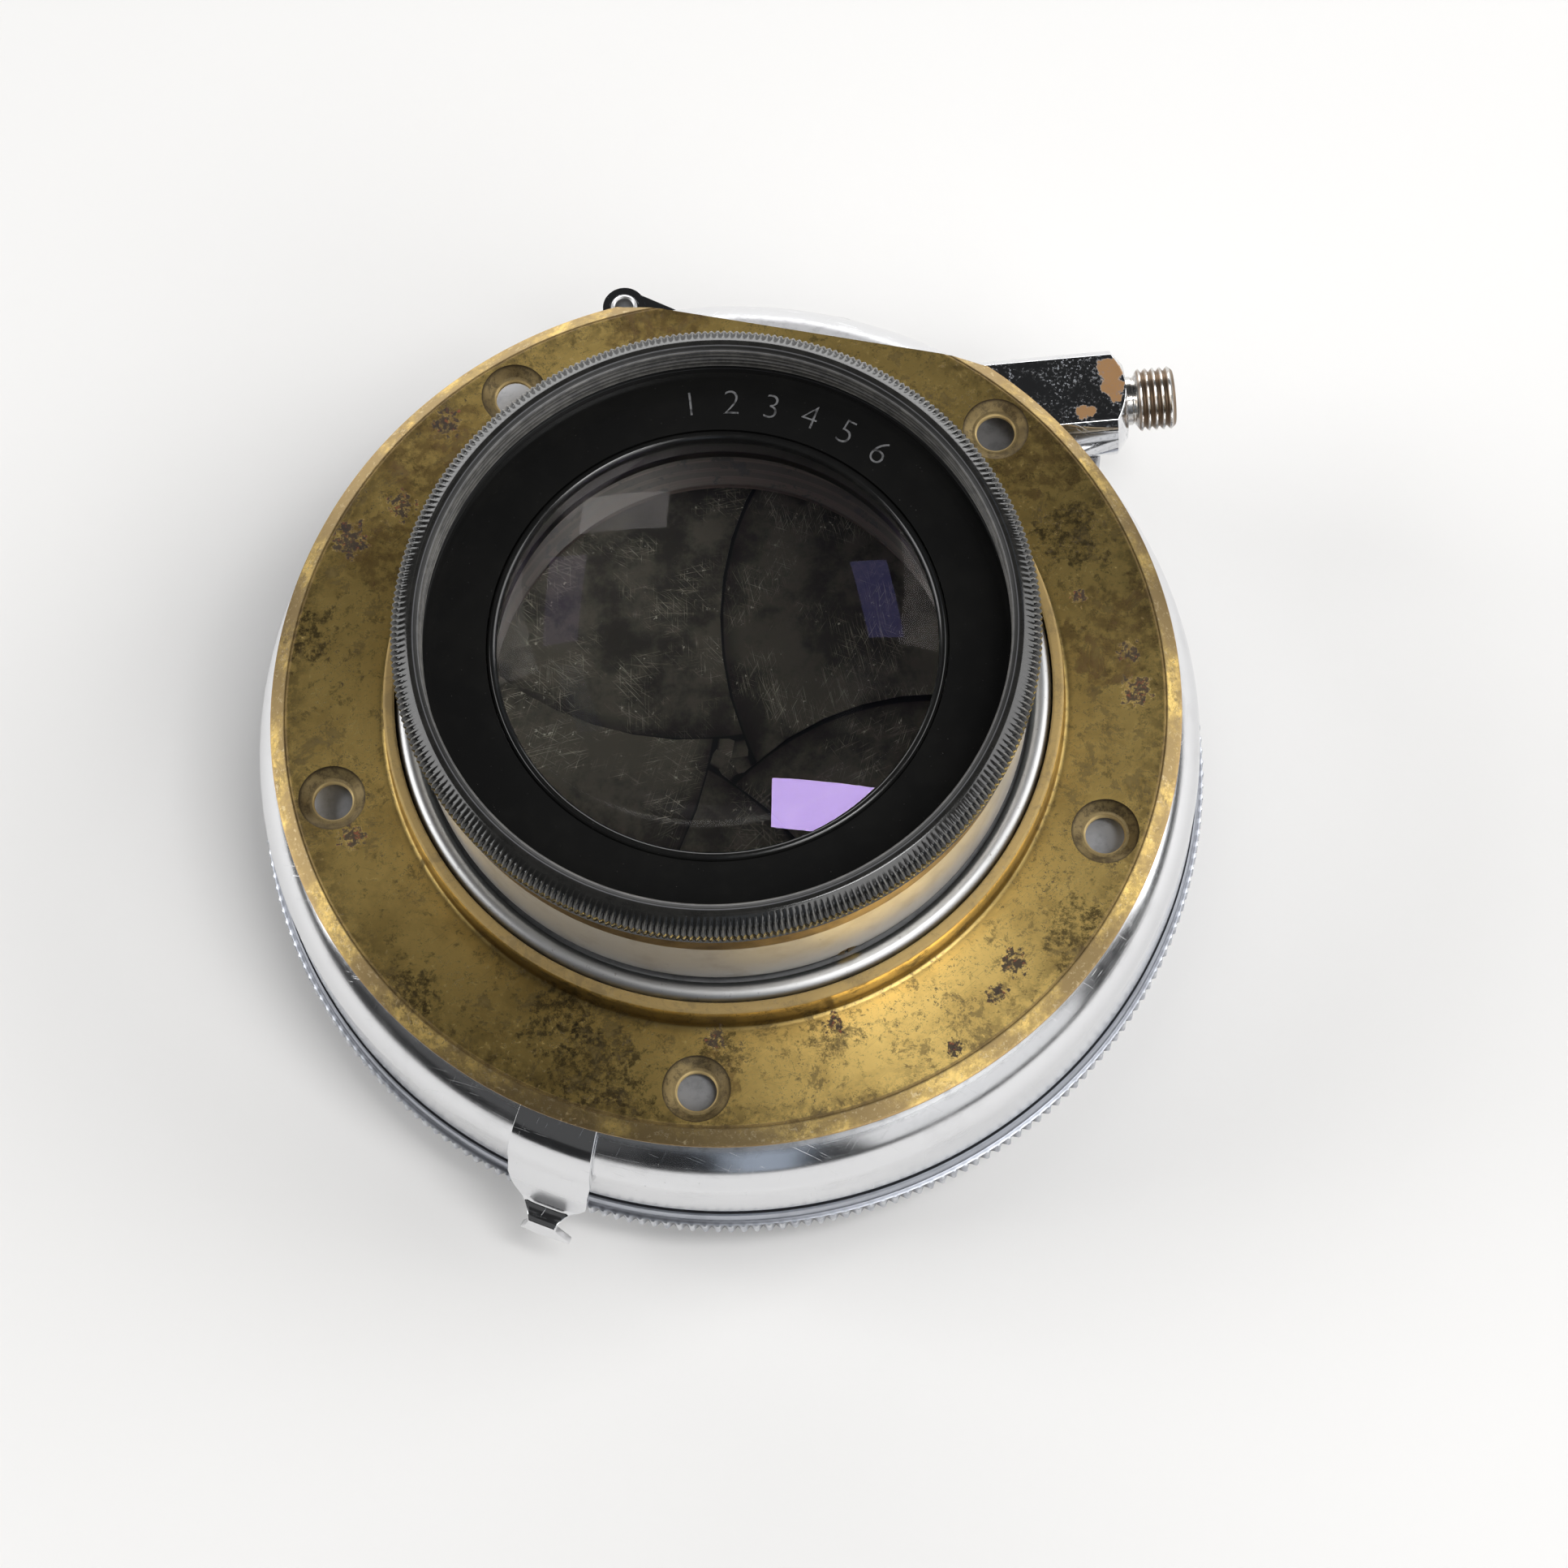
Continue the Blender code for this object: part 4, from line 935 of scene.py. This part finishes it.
def build_speed_ring(metal):
    profile = [(42.62, -15.12), (44.25, -15.12)]
    profile += arc((44.15, -15.4), 0.28, 60, 0, 3)
    profile += [(44.43, -16.75), (44.5, -16.85), (44.85, -16.95), (44.98, -17.1), (44.98, -19.0),
                (44.85, -19.2), (44.5, -19.3), (44.3, -19.65), (43.8, -19.78), (34.55, -20.17),
                (34.5, -20.1), (34.5, -19.1), (42.6, -18.65)]
    toothed = {9: 0.35, 10: 0.50, 11: 0.50, 12: 0.35}

    def wave(index, step):
        shape = (0.0, 0.0, 0.55, 1.0, 0.55)[step % 5]
        return toothed.get(index, 0.0) * shape

    turned("speed_ring_knurled", profile, metal, ["speed_ring"], "speed_ring",
           corner=0, steps=SPEED_TEETH * 5, wave=wave)


def strap(name, stations, center_angle, columns):
    """Bent sheet from stations of (outer point, inner point, left angle, right angle)."""
    bm = bmesh.new()
    rows = []
    for outer, inner, left, right in stations:
        angles = [center_angle - left + (left + right) * k / columns for k in range(columns + 1)]
        row = [bm.verts.new((*polar(outer[0], a), outer[1])) for a in angles]
        row += [bm.verts.new((*polar(inner[0], a), inner[1])) for a in reversed(angles)]
        rows.append(row)
    count = len(rows[0])
    for first, second in zip(rows, rows[1:]):
        for k in range(count):
            after = (k + 1) % count
            bm.faces.new((first[k], first[after], second[after], second[k]))
    bm.faces.new(rows[0][::-1])
    bm.faces.new(rows[-1])
    return to_object(name, bm)


def build_aperture_lever(metal):
    stations = [(outer, inner, 5.15, 5.15)
                for outer, inner in zip(dome(0.91, 86, 2, 18), dome(0.15, 86, 2, 18))]
    stations += [((45.2, -9.0), (44.45, -9.0), 5.1, 5.15),
                 ((45.8, -10.5), (45.05, -10.6), 4.95, 4.9), ((46.1, -12.5), (45.35, -12.7), 4.55, 4.75),
                 ((46.25, -13.6), (45.5, -13.9), 4.1, 4.6), ((46.38, -14.5), (45.65, -15.0), 3.55, 3.9),
                 ((46.55, -15.1), (45.85, -15.75), 3.1, 3.0), ((46.95, -15.4), (46.6, -16.15), 2.6, 2.3),
                 ((47.7, -15.45), (47.3, -16.2), 1.9, 1.8), ((48.2, -15.6), (47.5, -16.35), 1.6, 1.6),
                 ((48.42, -16.1), (47.66, -16.6), 1.65, 1.7), ((48.5, -17.2), (47.72, -17.3), 2.0, 2.3),
                 ((48.55, -18.5), (47.8, -18.55), 2.7, 3.2)]
    lever = strap("aperture_tab", stations, TAB_ANGLE, TAB_COLUMNS)
    soften(lever, 0.10, 3, 55)
    piece(lever, metal, "aperture_lever", ["aperture_lever"], 50)


def build_cocking_lever(metal, bush_metal):
    """Arm on the front plate, its strap up the wall, a straight sheet and the rolled eye."""
    low = -14.58
    high = -13.72
    bm = bmesh.new()
    revolve(bm, [(34.02, low), (39.48, low), (39.48, high), (34.02, high)], 192)
    lever = to_object("cocking_arm", bm)
    root = bmesh.new()
    sector(root, 39.0, 45.3, low + 0.05, high - 0.05, 70.0, 76.0, 6)
    carve(lever, root, "UNION")
    bar = bmesh.new()
    sector(bar, 44.57, 45.33, low + 0.12, -9.65, 70.4, 97.3, 40)
    carve(lever, bar, "UNION")
    eye = bmesh.new()
    revolve(eye, [(1.40, -13.38), (2.08, -13.38), (2.08, -9.52), (1.40, -9.52)], 48)
    bmesh.ops.translate(eye, verts=eye.verts, vec=(*polar(EYE_CIRCLE, EYE_ANGLE), 0))
    carve(lever, eye, "UNION")
    sheet = bmesh.new()
    plan = [polar(48.66, 97.7), polar(45.36, 92.0), polar(44.62, 92.4), polar(47.98, 98.6)]
    prism(sheet, plan, -13.30, -9.60)
    carve(lever, sheet, "UNION")
    soften(lever, 0.12, 3, 50)
    piece(lever, metal, "cocking_lever", ["cocking_lever"], 45)
    bush = bmesh.new()
    revolve(bush, [(0.78, -12.6), (1.36, -12.6), (1.36, -9.75), (1.28, -9.45), (1.08, -9.34),
                   (0.90, -9.45), (0.80, -9.75)], 48)
    bmesh.ops.translate(bush, verts=bush.verts, vec=(*polar(EYE_CIRCLE, EYE_ANGLE), 0))
    piece(to_object("cocking_eye_bush", bush), bush_metal, "cocking_lever")


def along_socket(bm):
    """Lays a solid drawn along Z on the axis of the cable release socket."""
    for vert in bm.verts:
        x, y, z = vert.co
        vert.co = (z, y + SOCKET_Y, SOCKET_Z - x)


def build_socket(metal, thread, steel):
    bm = bmesh.new()
    revolve(bm, [(0, 24.0), (SOCKET_RADIUS, 24.0), (SOCKET_RADIUS, 39.2), (3.55, 40.28),
                 (0, 40.28)], 144)
    along_socket(bm)
    parts = bm.verts[:] + bm.edges[:] + bm.faces[:]
    bmesh.ops.bisect_plane(bm, geom=parts, plane_co=(0, 0, -0.52), plane_no=(0, 0, 1), clear_outer=True)
    bmesh.ops.holes_fill(bm, edges=[edge for edge in bm.edges if edge.is_boundary])
    block = to_object("socket_block", bm)
    soften(block, 0.16, 3, 40)
    inside = bmesh.new()
    revolve(inside, [(0, -10.0), (41.72, -10.0), (41.72, 1.0), (0, 1.0)], 128)
    carve(block, inside)
    bore = bmesh.new()
    revolve(bore, [(0, 28), (1.35, 28), (1.35, 36.4), (2.4, 36.4), (2.4, 42), (0, 42)], 48)
    along_socket(bore)
    carve(block, bore)
    piece(block, metal, ROOT, ["cable_release_socket"], 40)
    profile = [(1.35, 36.5), (2.3, 36.5), (2.3, 40.9), (2.2, 41.0), (2.2, 41.15),
               (2.55, NIPPLE_BASE)]
    for k in range(NIPPLE_CRESTS):
        base = NIPPLE_BASE + NIPPLE_PITCH * k
        profile += [(2.93, base + 0.28), (2.98, base + 0.38), (2.63, base + 0.60),
                    (2.60, base + NIPPLE_PITCH)]
    profile = profile[:-2] + [(2.75, 44.8), (2.6, 44.97), (1.6, 44.97), (1.36, 44.75)]
    bm = bmesh.new()
    revolve(bm, profile, 96)
    along_socket(bm)
    piece(to_object("socket_nipple", bm), thread, ROOT,
          ["cable_release_nipple"], 40)
    bm = bmesh.new()
    revolve(bm, rounded([(0, 33.4), (1.25, 33.4), (1.25, 44.3), (0, 44.3)], 0.1), 48)
    along_socket(bm)
    piece(to_object("socket_plunger", bm), steel, "cable_release_plunger",
          ["cable_release_plunger"])


def build_front(black, clear):
    turned("face_plate", [(25.1, -16.1), (34.3, -16.1), (34.3, -20.35), (35.95, -20.35),
                          (35.6, -20.98), (25.1, -20.98)], black, ["face_cover"])
    turned("front_tube",
           [(24.88, -9.6), (24.88, -21.05), (26.2, -21.05), (26.2, -25.28), (21.5, -25.28),
            (21.5, -20.82), (16.2, -20.82), (16.2, -19.8), (17.3, -19.8), (17.3, -12.0),
            (20.0, -9.6)], black, ["front_cell_barrel"])

    turned("front_rim", [(26.3, -21.22), (27.26, -21.22), (27.26, -26.35), (26.8, -26.98),
                         (22.6, -26.98), (22.2, -26.6), (22.2, -25.42), (26.3, -25.42)],
           black, ["front_cell_rim"], steps=480)
    turned("front_glass", [(0, -20.92), (21.38, -20.92)] + lens_surface(21.38, -22.906, -150)[::-1],
           clear, ["front_lens_outer"], corner=0, steps=160)
    turned("front_glass_ring", [(21.38, -23.0), (21.38, -24.6), (20.6, -24.6), (20.4, -23.36)],
           black, ["front_lens_retainer"], corner=0.1)


def build_leaves():
    """Thin leaves of the outline the frame gives, each tilted so that it lies on the next one."""
    for number in range(1, LEAVES + 1):
        body = "shutter_leaf_%d" % number
        node = frame["nodes"][body]
        pivot = Vector(JOINTS[body + "_swing"]["pos_m"]) / MM
        along = AXIS - pivot
        heading = math.degrees(math.atan2(-along.y, -along.x))
        across = Vector((*polar(1.0, heading - LEAF_LEAN), 0))
        bm = bmesh.new()
        bm.from_mesh(node.data)
        bm.transform(node.matrix_world)
        bmesh.ops.scale(bm, verts=bm.verts, vec=(1 / MM, 1 / MM, 1 / MM))
        middle = sum(vert.co.z for vert in bm.verts) / len(bm.verts)
        for vert in bm.verts:
            side = LEAF_SHEET / 2 if vert.co.z > middle else -LEAF_SHEET / 2
            slope = LEAF_TILT * across.dot(vert.co - AXIS)
            vert.co = vert.co - pivot
            vert.co.z = SEAT + LEAF_LEVEL - pivot.z + slope + side
        edge_angle = heading + 360.0 / LEAVES - LEAF_EDGE_TURN
        neighbour = along + Vector((*polar(LEAF_EDGE_CIRCLE, edge_angle), 0))
        piece(to_object("shutter_blade_%d" % number, bm, pivot),
              leaf_steel(number, (neighbour.x, neighbour.y, 0)), body, [body])


def paint_cad(materials):
    """Gives every CAD node that still shows its own procedural material."""
    names = {row["node"]: row["material_slot"] for row in frame["record"]["subparts"]}
    for node, obj in frame["nodes"].items():
        for slot in obj.material_slots:
            slot.material = materials[names[node]]


# ------------------------------------------------------------- light and camera

def area(name, azimuth, elevation, distance, width, height, radiance, color=(1, 1, 1), roll=0.0):
    """Rectangular panel that faces the object and glows evenly."""
    light = bpy.data.lights.new(name, "AREA")
    light.shape = "RECTANGLE"
    light.size = width
    light.size_y = height
    light.energy = radiance * width * height * math.pi
    light.color = color
    lamp = add_object(name, light)
    level = math.radians(elevation)
    aim = Vector((*polar(math.cos(level), azimuth), math.sin(level)))
    lamp.location = aim * distance
    spin = Quaternion((0, 0, 1), math.radians(roll))
    lamp.rotation_euler = (aim.to_track_quat("Z", "Y") @ spin).to_euler()


def studio():
    """Paper floor, even surroundings and soft panels."""
    bm = bmesh.new()
    bmesh.ops.create_grid(bm, x_segments=2, y_segments=2, size=1.6)
    mesh = bpy.data.meshes.new("floor")
    bm.to_mesh(mesh)
    bm.free()
    mesh.materials.append(floor_paper())
    add_object("floor", mesh)
    world = bpy.data.worlds.new("studio")
    world.use_nodes = True
    back = world.node_tree.nodes["Background"]
    back.inputs["Color"].default_value = (0.95, 0.97, 1.0, 1)
    back.inputs["Strength"].default_value = 0.022
    bpy.context.scene.world = world
    area("key_softbox", -36, 71.5, 1.05, 0.32, 0.15, 19.0, roll=-60)
    area("left_softbox", 171, 31, 1.2, 0.65, 0.80, 4.6)
    area("right_softbox", 5, 32, 1.2, 0.75, 0.85, 3.9)
    area("front_softbox", -53, 50, 1.2, 0.62, 0.62, 3.8)
    area("front_reflector", -52, 20, 1.2, 0.90, 0.55, 0.85)
    area("left_reflector", -138, 38, 1.2, 1.00, 1.00, 0.06)
    area("back_wall", 90, 12, 1.5, 2.8, 0.62, 4.8)
    area("back_left_window", 129, 49, 1.2, 0.12, 0.34, 0.45, roll=-47)
    area("back_right_window", 45, 52, 1.2, 0.12, 0.30, 0.75, (0.70, 0.88, 1.20), 52)
    area("window", -91, 28, 1.3, 0.28, 1.2, 0.42, (0.80, 0.92, 1.10))
    bpy.context.scene.view_settings.view_transform = "Standard"
    bpy.context.scene.view_settings.look = "None"


def camera():
    elevation = math.radians(CAMERA_ELEVATION)
    roll = math.radians(CAMERA_ROLL)
    back = Vector((0, -math.cos(elevation), math.sin(elevation)))
    right = Vector((1, 0, 0))
    up = back.cross(right)
    side = right * math.cos(roll) + up * math.sin(roll)
    top = up * math.cos(roll) - right * math.sin(roll)
    place = ORIGIN + CAMERA_TARGET + back * CAMERA_DISTANCE
    data = bpy.data.cameras.new("camera")
    data.lens = CAMERA_LENS
    data.sensor_width = CAMERA_SENSOR
    data.clip_start = 0.01
    data.clip_end = 20.0
    cam = add_object("camera", data)
    turn = Matrix((side, top, back)).transposed().to_4x4()
    cam.matrix_world = Matrix.Translation(place * MM) @ turn
    bpy.context.scene.camera = cam


def main():
    metal = chrome().mat
    brass = brass_plate()
    band = brass_band()
    black = enamel()
    silver = satin()
    steel = dark_steel()
    bead = bead_metal()
    clear = glass()
    paint_cad({"tarnished_brass": band, "polished_chrome": metal, "satin_nickel": silver,
               "black_enamel": enamel("inner_black", 0.40, False), "blackened_steel": steel,
               "coated_glass": clear})
    build_flange(brass)
    build_housing(shell_chrome())
    build_rear(silver, bead, band, black, enamel("lip_black", 0.16, False), clear)
    build_figures(figure_paint())
    build_speed_ring(ring_metal())
    build_aperture_lever(lever_chrome())
    build_cocking_lever(metal, bead)
    build_socket(block_chrome(), nipple_metal(), steel)
    build_front(black, clear)
    build_leaves()
    studio()
    camera()


main()
